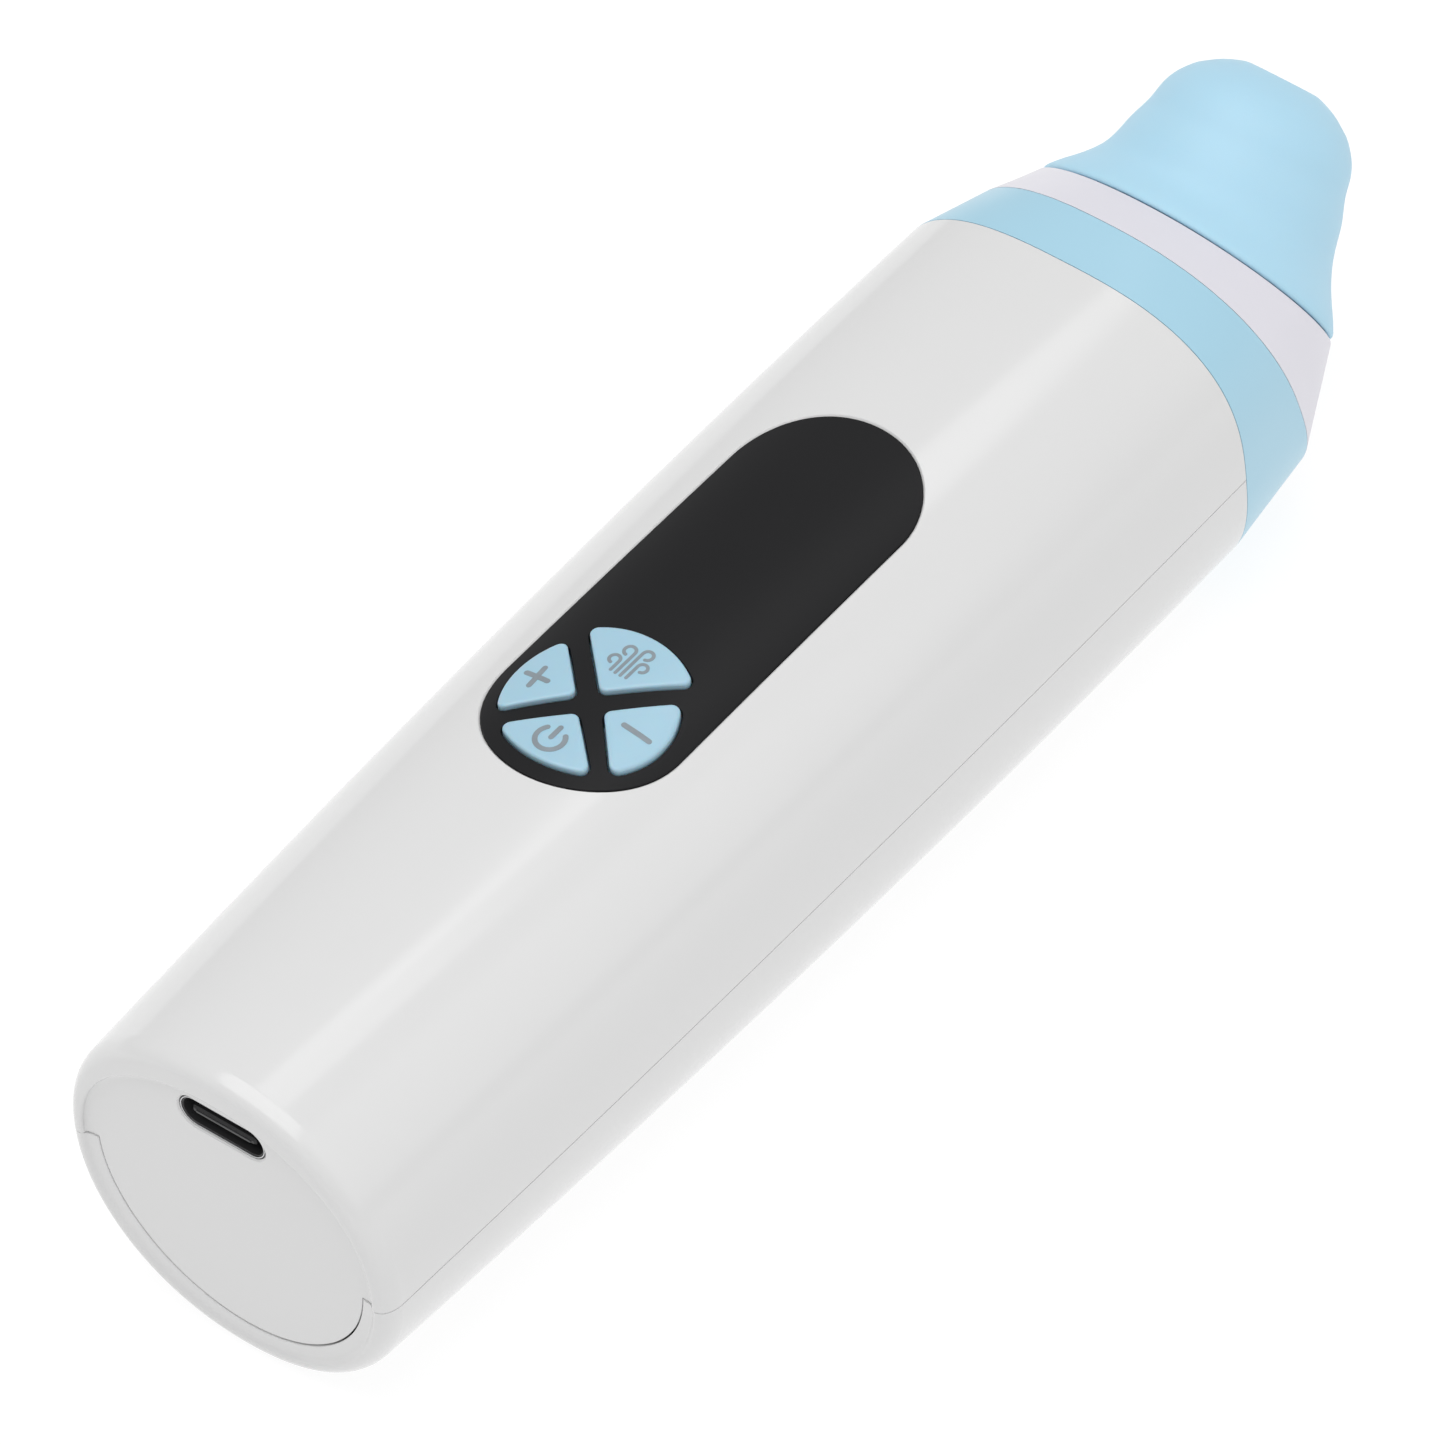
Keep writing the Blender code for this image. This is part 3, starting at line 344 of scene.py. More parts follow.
def loft(rings, cyclic=False):
    """A closed solid through rings of equal length, capped, or closed on itself when cyclic."""
    mesh = bmesh.new()
    loops = [[mesh.verts.new(point) for point in points] for points in rings]
    pairs = list(zip(loops, loops[1:]))
    if cyclic:
        pairs.append((loops[-1], loops[0]))
    else:
        mesh.faces.new(loops[0])
        mesh.faces.new(loops[-1])
    for first, second in pairs:
        sew(mesh, first, second)
    bmesh.ops.recalc_face_normals(mesh, faces=mesh.faces)
    return mesh


def sew(mesh, first, second):
    """A strip of faces between two closed loops of vertices."""
    for k, vertex in enumerate(first):
        after = (k + 1) % len(first)
        mesh.faces.new((vertex, first[after], second[after], second[k]))


def prism(outline, low, high):
    """A plan outline raised from one height to another."""
    return loft([[Vector((x, y, z)) for x, y in outline] for z in (low, high)])


def joined(meshes):
    """Several separate bodies in one mesh."""
    whole = bmesh.new()
    for mesh in meshes:
        data = bpy.data.meshes.new("part")
        mesh.to_mesh(data)
        mesh.free()
        whole.from_mesh(data)
        bpy.data.meshes.remove(data)
    return whole


def stadium(radius, first=PANEL_TAIL_X, last=PANEL_NOSE_X, steps=41, along=36, taper=1.0):
    """Plan outline with round ends about two centres on the X axis, the far one tapered."""
    outline = []
    ends = ((last, radius * taper, -0.5 * math.pi), (first, radius, 0.5 * math.pi))
    for centre, size, start in ends:
        outline += [(point.x, point.y) for point in
                    arc(Vector((centre, 0.0)), size, start, start + math.pi, steps)]
        other, other_size = (first, radius) if centre == last else (last, radius * taper)
        side = Vector(outline[-1])
        target = Vector((other, math.copysign(other_size, side.y)))
        outline += [(point.x, point.y) for point in line(side, target, along)]
    return outline


def window(radius):
    """Plan outline of the panel, or of one grown or drawn in from it."""
    return stadium(radius, taper=PANEL_TAPER)


def wedge(name, grow=0.0):
    """Plan outline of one button: a wedge with an arc and rounded corners, grown by grow."""
    facing, centre_x, tip, far, lateral, half = BUTTONS[name]
    half = math.radians(half)
    corner = BUTTON_CORNER + grow
    apex = Vector((tip + BUTTON_CORNER, 0.0))
    side = lateral - BUTTON_CORNER
    high = Vector((apex.x + side / math.tan(half), side))
    low = Vector((high.x, -high.y))
    inner = far - BUTTON_CORNER
    hub = Vector(((inner * inner - high.length_squared) / (2.0 * (inner - high.x)), 0.0))
    radius = far + grow - hub.x
    spread = math.atan2(high.y, high.x - hub.x)
    quarter_turn = 0.5 * math.pi
    points = arc(apex, corner, quarter_turn + half, 3.0 * quarter_turn - half, 8)
    lower = arc(low, corner, 3.0 * quarter_turn - half, 4.0 * quarter_turn - spread, 10)
    points += line(points[-1], lower[0], 16)
    points += lower
    points += arc(hub, radius, -spread, spread, 30)[1:-1]
    points += arc(high, corner, spread, quarter_turn + half, 10)
    points += line(points[-1], points[0], 16)
    turn = Matrix.Rotation(math.radians(facing), 2)
    turned = [turn @ point for point in points]
    return [(centre_x + point.x, point.y) for point in turned]


def arc(centre, radius, start, end, steps):
    """Points along a circular arc, both ends included."""
    sweep = [start + (end - start) * k / steps for k in range(steps + 1)]
    return [centre + radius * Vector((math.cos(a), math.sin(a))) for a in sweep]


def line(start, end, steps):
    """Points between two ends, neither included."""
    return [start.lerp(end, k / steps) for k in range(1, steps)]


def over_skin(outline, rise):
    """A plan outline laid over the handle's skin, at a height above it."""
    return [Vector((x, y, skin_height(x, y) + rise)) for x, y in outline]


# ---------------------------------------------------------------- pieces

def helper(name, mesh):
    """A passing object for a Boolean step."""
    data = bpy.data.meshes.new(name)
    mesh.to_mesh(data)
    mesh.free()
    shape = bpy.data.objects.new(name, data)
    bpy.context.scene.collection.objects.link(shape)
    return shape


def carved(mesh, steps):
    """A mesh after cuts and unions, from (operation, mesh) pairs in order."""
    base = helper("base", mesh)
    used = [base]
    for number, (operation, other) in enumerate(steps):
        tool = helper("tool_%d" % number, other)
        used.append(tool)
        step = base.modifiers.new(tool.name, "BOOLEAN")
        step.operation = operation
        step.solver = "EXACT"
        step.object = tool
    result = bmesh.new()
    result.from_object(base, bpy.context.evaluated_depsgraph_get())
    for shape in used:
        data = shape.data
        bpy.data.objects.remove(shape)
        bpy.data.meshes.remove(data)
    return result


def level_of_skin(points):
    """How far out points lie, 1 on the handle's skin with its rounded tail edge, for arrays."""
    x = np.clip(points[:, 0], 0.0, HANDLE_LENGTH)
    near = np.clip(1.0 - x / TAIL_EDGE_DEPTH, 0.0, 1.0)
    inset = TAIL_EDGE_INSET * (1.0 - np.sqrt(1.0 - near * near))
    half_width, half_height, power = handle_section(x, inset)
    across = np.abs(points[:, 1]) / half_width
    up = np.abs(points[:, 2]) / half_height
    return (across ** power + up ** power) ** (1.0 / power)


def gathered(items, field, width=1, kind=float):
    """One field of all the items of a mesh, as an array with width columns."""
    values = np.empty(len(items) * width, kind)
    items.foreach_get(field, values)
    return values.reshape(-1, width) if width > 1 else values


def follow_skin(data):
    """Gives faces on the handle's skin its exact normals, so that gloss stays clean round cuts."""
    tolerance, reach, least_cosine = 0.0012, 0.002, 0.96
    points = (gathered(data.vertices, "co", 3) - np.array(ORIGIN)) / MM
    on_skin = np.abs(level_of_skin(points) - 1.0) < tolerance
    slope = np.stack([level_of_skin(points + shift) - level_of_skin(points - shift)
                      for shift in np.eye(3) * reach], axis=1)
    slope /= np.linalg.norm(slope, axis=1)[:, None] + 1e-12
    corners = gathered(data.loops, "vertex_index", kind=int)
    starts = gathered(data.polygons, "loop_start", kind=int)
    totals = gathered(data.polygons, "loop_total", kind=int)
    flats = gathered(data.polygons, "normal", 3)
    face = np.repeat(np.arange(len(starts)), totals)
    cosine = np.einsum("ij,ij->i", slope[corners], flats[face])
    good = on_skin[corners] & (cosine > least_cosine)
    whole = np.logical_and.reduceat(good, starts)
    normals = gathered(data.corner_normals, "vector", 3)
    chosen = whole[face]
    normals[chosen] = slope[corners][chosen]
    data.normals_split_custom_set(normals.tolist())


def finished(name, mesh, body, finish, nodes=(), sharp=32.0, skin=False):
    """A finished piece: moved into the frame, shaded, given its finish and put on its body."""
    bmesh.ops.scale(mesh, verts=mesh.verts, vec=(MM, MM, MM))
    bmesh.ops.translate(mesh, verts=mesh.verts, vec=ORIGIN)
    piece = helper(name, mesh)
    piece.data.shade_smooth()
    piece.data.set_sharp_from_angle(angle=math.radians(sharp))
    weigh = piece.modifiers.new("even_gloss", "WEIGHTED_NORMAL")
    weigh.keep_sharp = True
    graph = bpy.context.evaluated_depsgraph_get()
    data = bpy.data.meshes.new_from_object(piece.evaluated_get(graph))
    piece.modifiers.clear()
    piece.data = data
    data.name = name
    if skin:
        follow_skin(data)
    data.materials.clear()
    data.materials.append(finish)
    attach(piece, body)
    if nodes:
        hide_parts(*nodes)
    return piece


# ---------------------------------------------------------------- materials

def ramp_noise(tree, scale, detail, low, high, stretch=None):
    """Noise in the object's own space, spread from one colour or value to another."""
    place = tree.nodes.new("ShaderNodeTexCoord")
    source = place.outputs["Object"]
    if stretch:
        mapping = tree.nodes.new("ShaderNodeMapping")
        mapping.inputs["Scale"].default_value = stretch
        tree.links.new(source, mapping.inputs["Vector"])
        source = mapping.outputs["Vector"]
    noise = tree.nodes.new("ShaderNodeTexNoise")
    noise.inputs["Scale"].default_value = scale
    noise.inputs["Detail"].default_value = detail
    tree.links.new(source, noise.inputs["Vector"])
    ramp = tree.nodes.new("ShaderNodeValToRGB")
    ramp.color_ramp.elements[0].position = 0.3
    ramp.color_ramp.elements[0].color = low
    ramp.color_ramp.elements[1].position = 0.7
    ramp.color_ramp.elements[1].color = high
    tree.links.new(noise.outputs["Fac"], ramp.inputs["Fac"])
    return noise, ramp


def surface(name, colour, roughness, spread=0.02, drift=40.0, uneven=0.04, patch=120.0,
            grain=2500.0, depth=0.004, stretch=None, sockets=()):
    """A moulded, printed or machined surface.

    Its colour drifts by spread over patches of 1/drift metres, its gloss by uneven over 1/patch,
    and a fine texture of 1/grain stands depth millimetres proud.
    """
    material = bpy.data.materials.new(name)
    material.use_nodes = True
    tree = material.node_tree
    shader = tree.nodes["Principled BSDF"]
    dark = tuple(c * (1.0 - spread) for c in colour) + (1.0,)
    light = tuple(min(1.0, c * (1.0 + spread)) for c in colour) + (1.0,)
    _, shade = ramp_noise(tree, drift, 3.0, dark, light, stretch)
    tree.links.new(shade.outputs["Color"], shader.inputs["Base Color"])
    smooth, dull = roughness - uneven, roughness + uneven
    _, gloss = ramp_noise(tree, patch, 2.0, (smooth,) * 3 + (1.0,), (dull,) * 3 + (1.0,), stretch)
    tree.links.new(gloss.outputs["Color"], shader.inputs["Roughness"])
    fine, _ = ramp_noise(tree, grain, 2.0, (0.0,) * 3 + (1.0,), (1.0,) * 4, stretch)
    bump = tree.nodes.new("ShaderNodeBump")
    bump.inputs["Strength"].default_value = 1.0
    bump.inputs["Distance"].default_value = depth * MM
    tree.links.new(fine.outputs["Fac"], bump.inputs["Height"])
    tree.links.new(bump.outputs["Normal"], shader.inputs["Normal"])
    for socket, value in sockets:
        shader.inputs[socket].default_value = value
    return material


def board_surface():
    """Solder mask with paler copper runs showing through it."""
    material = surface("board_green", (0.015, 0.16, 0.06), 0.35, spread=0.05)
    tree = material.node_tree
    shader = tree.nodes["Principled BSDF"]
    base = shader.inputs["Base Color"].links[0].from_socket
    place = tree.nodes.new("ShaderNodeTexCoord")
    waves = tree.nodes.new("ShaderNodeTexWave")
    waves.bands_direction = "Y"
    waves.inputs["Scale"].default_value = 260.0
    waves.inputs["Distortion"].default_value = 2.5
    waves.inputs["Detail Scale"].default_value = 0.4
    tree.links.new(place.outputs["Object"], waves.inputs["Vector"])
    edge = tree.nodes.new("ShaderNodeValToRGB")
    edge.color_ramp.elements[0].position = 0.62
    edge.color_ramp.elements[1].position = 0.66
    tree.links.new(waves.outputs["Fac"], edge.inputs["Fac"])
    mix = tree.nodes.new("ShaderNodeMix")
    mix.data_type = "RGBA"
    mix.inputs["B"].default_value = (0.05, 0.3, 0.12, 1.0)
    tree.links.new(edge.outputs["Color"], mix.inputs["Factor"])
    tree.links.new(base, mix.inputs["A"])
    tree.links.new(mix.outputs["Result"], shader.inputs["Base Color"])
    return material


def make_finishes():
    """Every finish by the name of its slot in the record."""
    metal = ("Metallic", 1.0)
    silicone = (("Subsurface Weight", 0.12), ("Subsurface Radius", (0.4, 0.8, 1.0)),
                ("Subsurface Scale", 0.0015), ("Sheen Weight", 0.05))
    return {
        "body": surface("body", (0.70, 0.70, 0.70), 0.14, spread=0.004, uneven=0.015,
                        depth=0.0006, sockets=(("Coat Weight", 0.15), ("Coat Roughness", 0.08))),
        "blue_collar": surface("blue_collar", (0.375, 0.62, 0.755), 0.34, spread=0.01,
                               grain=4000.0, depth=0.0015),
        "cup_white": surface("cup_white", (0.725, 0.712, 0.77), 0.36, spread=0.008,
                             grain=4000.0, depth=0.0012),
        "blue_silicone": surface("blue_silicone", (0.42, 0.675, 0.825), 0.55, spread=0.012,
                                 grain=5200.0, depth=0.003, sockets=silicone),
        "black_panel": surface("black_panel", (0.0085, 0.0085, 0.0095), 0.36, spread=0.05,
                               uneven=0.02, depth=0.0004, sockets=(("Specular IOR Level", 0.2),)),
        "button_blue": surface("button_blue", (0.365, 0.575, 0.695), 0.3, spread=0.006,
                               uneven=0.012, depth=0.001, sockets=(("Subsurface Weight", 0.25),
                                                     ("Subsurface Scale", 0.0015))),
        "board_green": board_surface(),
        "bright_steel": surface("bright_steel", (0.64, 0.64, 0.65), 0.26, spread=0.06,
                                stretch=(0.08, 1.0, 1.0), sockets=(metal,)),
        "dark_resin": surface("dark_resin", (0.022, 0.022, 0.023), 0.5, spread=0.1,
                              grain=6000.0, depth=0.004),
        "grey_pom": surface("grey_pom", (0.56, 0.56, 0.57), 0.42, spread=0.02),
        "cell_wrap": surface("cell_wrap", (0.04, 0.27, 0.31), 0.28, spread=0.06, drift=25.0),
        "magnet_iron": surface("magnet_iron", (0.075, 0.075, 0.08), 0.6, spread=0.2,
                               grain=3500.0, depth=0.01),
        "commutator_copper": surface("commutator_copper", (0.72, 0.42, 0.22), 0.32, spread=0.1,
                                     stretch=(0.1, 1.0, 1.0), sockets=(metal,)),
        "black_rubber": surface("black_rubber", (0.028, 0.028, 0.029), 0.62, spread=0.1,
                                grain=4200.0, depth=0.006, sockets=(("Sheen Weight", 0.08),)),
        "white_felt": surface("white_felt", (0.76, 0.76, 0.73), 0.95, spread=0.08, drift=900.0,
                              uneven=0.03, grain=1500.0, depth=0.12,
                              sockets=(("Sheen Weight", 0.4),)),
        "lead_red": surface("lead_red", (0.5, 0.025, 0.025), 0.42, spread=0.05),
        "lead_black": surface("lead_black", (0.025, 0.025, 0.026), 0.42, spread=0.1),
    }


def print_ink():
    """Grey pad-printed ink, a little translucent over the caps."""
    return surface("print_ink", (0.235, 0.275, 0.305), 0.4, spread=0.06, drift=900.0)


# ---------------------------------------------------------------- handle shells

def section_angle(height, half_height, power):
    """The angle at which a section reaches a height."""
    rise = (abs(height) / half_height) ** (power / 2.0)
    return math.copysign(math.asin(rise), height)


def half_arc(half_width, half_height, power, start, side, drop=0.0, steps=ARC_STEPS):
    """Points over one half of a section, from height start on +Y to drop lower down on -Y."""
    first = section_angle(start, half_height, power)
    last = math.pi - section_angle(start - side * drop, half_height, power)
    points = []
    for k in range(steps + 1):
        across, up = superellipse(first + (last - first) * k / steps, half_width, half_height,
                                  power)
        points.append((across, side * up))
    return points


def parting_drop(x):
    """How far the parting line lies below the parting plane on the -Y side."""
    left = max(0.0, 1.0 - x / PARTING_LEVEL_X)
    return PARTING_DROP * left ** PARTING_CURVE


def rounded_corner(half_width, radius, level, side):
    """The small radius between the skin and the parting face, seen in section on +Y."""
    points = []
    for t in ROUND_SHARES:
        across = half_width - radius * t * t
        points.append((across, level + side * radius * (1.0 - t) ** 2))
    return points


def half_width_at(section, height):
    """Half-width of a section at a height."""
    half_width, half_height, power = section
    return half_width * (1.0 - (height / half_height) ** power) ** (1.0 / power)


def shell_ring(x, outer, inner_x, inner, side, step):
    """Section of one shell: outer arc, rounded parting edges, stepped faces and inner arc."""
    level = side * PARTING_GAP
    drop = parting_drop(x)
    thick = outer[0] - inner[0]
    radius = TAIL_PARTING_EDGE if step is None else PARTING_EDGE
    over = half_arc(*outer, PARTING_GAP + radius, side, drop)
    corner = rounded_corner(outer[0], radius, level, side)
    start = PARTING_GAP if step is None else side * step[1]
    under = half_arc(*inner, start, side, drop)
    if step is None:
        edge = [(outer[0] - thick * share, level) for share in PARTING_FACE_SHARES]
    else:
        edge = [(outer[0] - step[0], level), (outer[0] - step[0], step[1])]
    behind = max(0.0, x - inner_x) if step is None else 0.0
    sunk = [inner_x] * 2 if x < inner_x else [x - behind * share for share in PARTING_FACE_SHARES]
    depths = [x] * len(corner) + sunk
    near = [Vector((s, across, up)) for s, (across, up) in zip(depths, [*corner, *edge])]
    sink = outer[0] - half_width_at(outer, drop)
    far = [Vector((point.x, sink - point.y, point.z - drop)) for point in near]
    skin = [Vector((x, across, up)) for across, up in over]
    inside = [Vector((inner_x, across, up)) for across, up in reversed(under)]
    return [*skin, *far, *inside, *reversed(near)]


def tail_rings(side):
    """Sections of the tail end: the outer edge, the recess and what backs the disc."""
    rings = []
    count = 12
    depth, width = REAR_STEP
    for share in (1.0, 0.8, 0.6, 0.4, 0.2) if side < 0.0 else ():
        x = depth * share * share * (3.0 - 2.0 * share)
        outer = handle_section(0.0, TAIL_EDGE_INSET + width * share)
        inner_x, inner = disc_hole(REAR_EASE * (1.0 - share))
        rings.append(shell_ring(x, outer, inner_x, inner, side, None))
    for k in range(count + 1):
        turn = 0.5 * math.pi * k / count
        x = TAIL_EDGE_DEPTH * (1.0 - math.cos(turn))
        outer = handle_section(x, TAIL_EDGE_INSET * (1.0 - math.sin(turn)))
        if side > 0.0:
            inner_x, inner = recess_wall(k / count)
        else:
            inner_x, inner = disc_hole(REAR_EASE + (1.0 - REAR_EASE) * k / count)
        rings.append(shell_ring(x, outer, inner_x, inner, side, None))
    return rings


def recess_wall(share):
    """Place and size of the recess's wall: its rounded lip, the wall and the hollow at its foot."""
    if share <= 0.5:
        turn = math.pi * share
        x = RECESS_LIP * (1.0 - math.cos(turn))
        grow = RECESS_LIP * (1.0 - math.sin(turn))
    else:
        turn = math.pi * (share - 0.5)
        drop = DISC_FACE - RECESS_LIP
        x = RECESS_LIP + drop * math.sin(turn)
        grow = -RECESS_FOOT * (1.0 - math.cos(turn))
    return x, (RECESS[0] + grow, RECESS[1] + grow, TAIL_POWER)


def disc_hole(share):
    """Place and size of the rear shell's hole for the disc, behind a face that slopes in to it."""
    turn = 0.5 * math.pi * share
    x = REAR_SLOPE + EDGE * (1.0 - math.cos(turn))
    radius = DISC_RADIUS + DISC_GAP + EDGE * (1.0 - math.sin(turn))
    return x, (radius, radius, 2.0)


def shell_half(side, tail_inner, step):
    """One moulded half of the handle, from its rounded tail edge to the collar."""
    plain_until = SHELL_STARTS[side]
    rings = tail_rings(side)
    rings.append(shell_ring(DISC_BACK, handle_section(DISC_BACK), DISC_BACK, tail_inner, side,
                            None))
    count = math.ceil((HANDLE_LENGTH - EDGE - plain_until) / SHELL_PITCH)
    pitch = (HANDLE_LENGTH - EDGE - plain_until) / count
    for k in range(count + 1):
        x = plain_until + pitch * k
        edges = None if k == 0 else step
        rings.append(shell_ring(x, handle_section(x), x, handle_section(x, WALL), side, edges))
    end = handle_section(HANDLE_LENGTH, WALL)
    for share in ROUND_SHARES:
        x = HANDLE_LENGTH - EDGE * (1.0 - share) ** 2
        outer = handle_section(x, EDGE * share * share)
        rings.append(shell_ring(x, outer, x, end, side, step))
    return faced(rings)


def faced(rings):
    """A loft whose first face is built of strips, so that a sloping rim stays true."""
    mesh = bmesh.new()
    loops = [[mesh.verts.new(point) for point in points] for points in rings]
    for first, second in zip(loops, loops[1:]):
        sew(mesh, first, second)
    mesh.faces.new(loops[-1])
    rim = loops[0]
    last = len(rim) - 1
    span = ARC_STEPS
    side_points = (last + 1 - 2 * (span + 1)) // 2
    inner_first = span + 1 + side_points
    for k in range(span):
        inner = inner_first + span - k
        mesh.faces.new((rim[k], rim[k + 1], rim[inner - 1], rim[inner]))
    mesh.faces.new([rim[span + k] for k in range(side_points + 2)])
    mesh.faces.new([rim[0], rim[inner_first + span], *rim[inner_first + span + 1:]])
    bmesh.ops.recalc_face_normals(mesh, faces=mesh.faces)
    return mesh


def tail_disc():
    """The end disc: its upper half is rooted in the front shell and its lower half stands free."""
    def outline(x, inset):
        drop = parting_drop(x)
        upper = half_arc(DISC_ROOT[0] - inset, DISC_ROOT[1] - inset, TAIL_POWER,
                         PARTING_GAP * 2.0, 1.0, drop)
        radius = DISC_RADIUS - inset
        lower = half_arc(radius, radius, 2.0, -PARTING_GAP, -1.0, drop)
        shifted = [(y + DISC_SHIFT, z + DISC_SHIFT) for y, z in reversed(lower)]
        return [Vector((x, y, z)) for y, z in [*upper, *shifted]]
    front = eased(outline(DISC_FACE, EDGE), outline(DISC_FACE, 0.0),
                  outline(DISC_FACE + EDGE, 0.0), 3)
    return loft([*front, outline(DISC_BACK, 0.0)])


def receptacle_ring(x, half_height, reach=USB_HALF_WIDTH - USB_HALF_HEIGHT):
    """Section of the receptacle: two half circles joined by flats."""
    outline = stadium(half_height, -reach, reach, 20, 4)
    return [Vector((x, USB_ASIDE + across, USB_HEIGHT + up)) for across, up in outline]


def receptacle_rings(profile):
    """Sections of the receptacle, one for each (x, half-height) row."""
    return [receptacle_ring(*row) for row in profile]


def usb_slot():
    """The slot for the receptacle, with a small chamfer on its edge."""
    half = USB_HALF_HEIGHT + USB_SLOT_GAP
    start = DISC_FACE + USB_SLOT_CHAMFER
    outside = 1.0
    return loft(receptacle_rings(((-outside, half + start + outside), (start, half),
                                  (USB_SLOT_END, half))))


def panel_pocket():
    """What the front shell loses so that the panel sits flush, with a chamfered edge."""
    radius = PANEL_RADIUS + PANEL_GAP
    flare = 0.3
    wide = window(radius + PANEL_CHAMFER + flare)
    loops = [over_skin(window(size), -POCKET_DEPTH) for size in (0.05, 2.0, 4.0, 6.0, 7.6, radius)]
    loops.append(over_skin(window(radius), -PANEL_CHAMFER))
    loops.append(over_skin(wide, flare))
    loops.append([Vector((x, y, CUTTER_SPAN[1])) for x, y in wide])
    return loft(loops)


def upright_rods(radius, low, high):
    """A rod at each boss's place, all in one mesh."""
    return joined([loft([upright_ring(x, y, z, radius) for z in (low, high)])
                   for x, y in BOSS_PLACES])


def make_front_shell(finish):
    """The display side's shell, with the end disc, the board's bosses and every opening."""
    half = shell_half(1.0, (RECESS[0] - RECESS_FOOT, RECESS[1] - RECESS_FOOT, TAIL_POWER),
                      GROOVE)
    low, high = BOSS_SPAN
    before, short = BOSS_HOLE_ENDS
    bosses = upright_rods(BOSS_RADIUS, low, high)
    holes = upright_rods(BOSS_HOLE, low - before, high - short)
    opening = prism(window(WINDOW_RADIUS), *CUTTER_SPAN)
    mesh = carved(half, (("UNION", tail_disc()), ("DIFFERENCE", usb_slot()),
                         ("DIFFERENCE", panel_pocket()), ("DIFFERENCE", opening),
                         ("UNION", bosses), ("DIFFERENCE", holes)))
    finished("handle_front", mesh, "handle", finish, ["front_shell"], skin=True)


def cradle_rib(x):
    """A rib of the rear shell that is cut round to hold the pump's sleeve."""
    low = half_arc(*handle_section(x, WALL / 2.0), RIB_TOP, -1.0)
    first = -math.radians(RIB_SHOULDER)
    opening = arc(Vector((0.0, MOTOR_AXIS_Z)), RIB_OPENING, first, -math.pi - first, ARC_STEPS)
    outline = [*low, *reversed(opening)]
    return loft([[Vector((s, y, z)) for y, z in outline] for s in (x, x + RIB_THICKNESS)])


def make_rear_shell(finish):
    """The shell behind, with the ribs that carry the pump."""
    hole = DISC_RADIUS + DISC_GAP
    half = shell_half(-1.0, (hole, hole, 2.0), TONGUE)
    ribs = joined([cradle_rib(x) for x in RIB_STATIONS])
    mesh = carved(half, (("UNION", ribs),))
    finished("handle_rear", mesh, "handle", finish, ["rear_shell"], skin=True)


def usb_bar(profile):
    """A flat bar in the middle of the receptacle, from (x, half-width, half-height) rows."""
    return loft([ring(Vector((x, USB_ASIDE, USB_HEIGHT)), 0.0, half_width, half_height,
                      USB_BAR_POWER, MEDIUM_RING) for x, half_width, half_height in profile])


def make_usb_port(steel, resin):
    """The receptacle's steel shell, a dark sleeve inside it as painted shade, the contact blade,
    and the blade's plate coloured near black as painted shade.
    """
    start, end = USB_SPAN
    bore = USB_HALF_HEIGHT - USB_WALL
    lip = USB_WALL * 0.4
    outer = USB_HALF_HEIGHT
    shell = [*eased(*receptacle_rings(((start + lip, outer), (start, outer),
                                       (start, outer - lip))), 3),
             *eased(*receptacle_rings(((start, bore + lip), (start, bore),
                                       (start + lip, bore))), 3),
             *receptacle_rings(((end, bore), (end, outer)))]
    finished("usb_receptacle", loft(shell, cyclic=True), "handle", steel,
             ["usb_shell"])
    # The liner is a dark sleeve over the inside of the steel shell, painted shade for the dark
    # inside of the receptacle, closed by a floor with a slit round the blade.
    fit, slit = 0.02, 0.05
    outside = bore - fit
    inside = outside - USB_SHADE_LINER
    first = start + USB_SHADE_LINER_START
    shade_liner = receptacle_rings(((first, outside), (first, inside), (USB_SHADE_LINER_FLOOR, inside),
                              (USB_SHADE_LINER_FLOOR, slit), (end, slit), (end, outside)))
    finished("usb_shade_liner", loft(shade_liner, cyclic=True), "handle", resin,
             ["usb_tongue"])
    finished("usb_blade", usb_bar(BLADE), "handle", resin, ["usb_tongue"])
    # The blade's steel plate is coloured near black: painted shade inside the receptacle.
    steel_plate_painted_shade = surface("steel_plate_painted_shade", (0.045, 0.045, 0.047), 0.45, spread=0.1)
    finished("usb_mid_plate", usb_bar(MID_PLATE), "handle", steel_plate_painted_shade,
             ["usb_tongue"])


# ---------------------------------------------------------------- panel and buttons

def inside_outline(x, y, outline):
    """Whether a point of the plan lies inside a closed outline."""
    inside = False
    for (ax, ay), (bx, by) in zip(outline, [*outline[1:], outline[0]]):
        if (ay > y) != (by > y) and x < ax + (bx - ax) * (y - ay) / (by - ay):
            inside = not inside
    return inside


def panel_plan(edge):
    """Plan outlines of the panel and of its button holes, drawn in by edge."""
    return [window(PANEL_RADIUS - edge), *[wedge(name, BUTTON_HOLE + edge) for name in BUTTONS]]


def on_plan(x, y, loops):
    """Whether a point of the plan lies inside the first outline and outside the others."""
    if not inside_outline(x, y, loops[0]):
        return False
    return not any(inside_outline(x, y, hole) for hole in loops[1:])


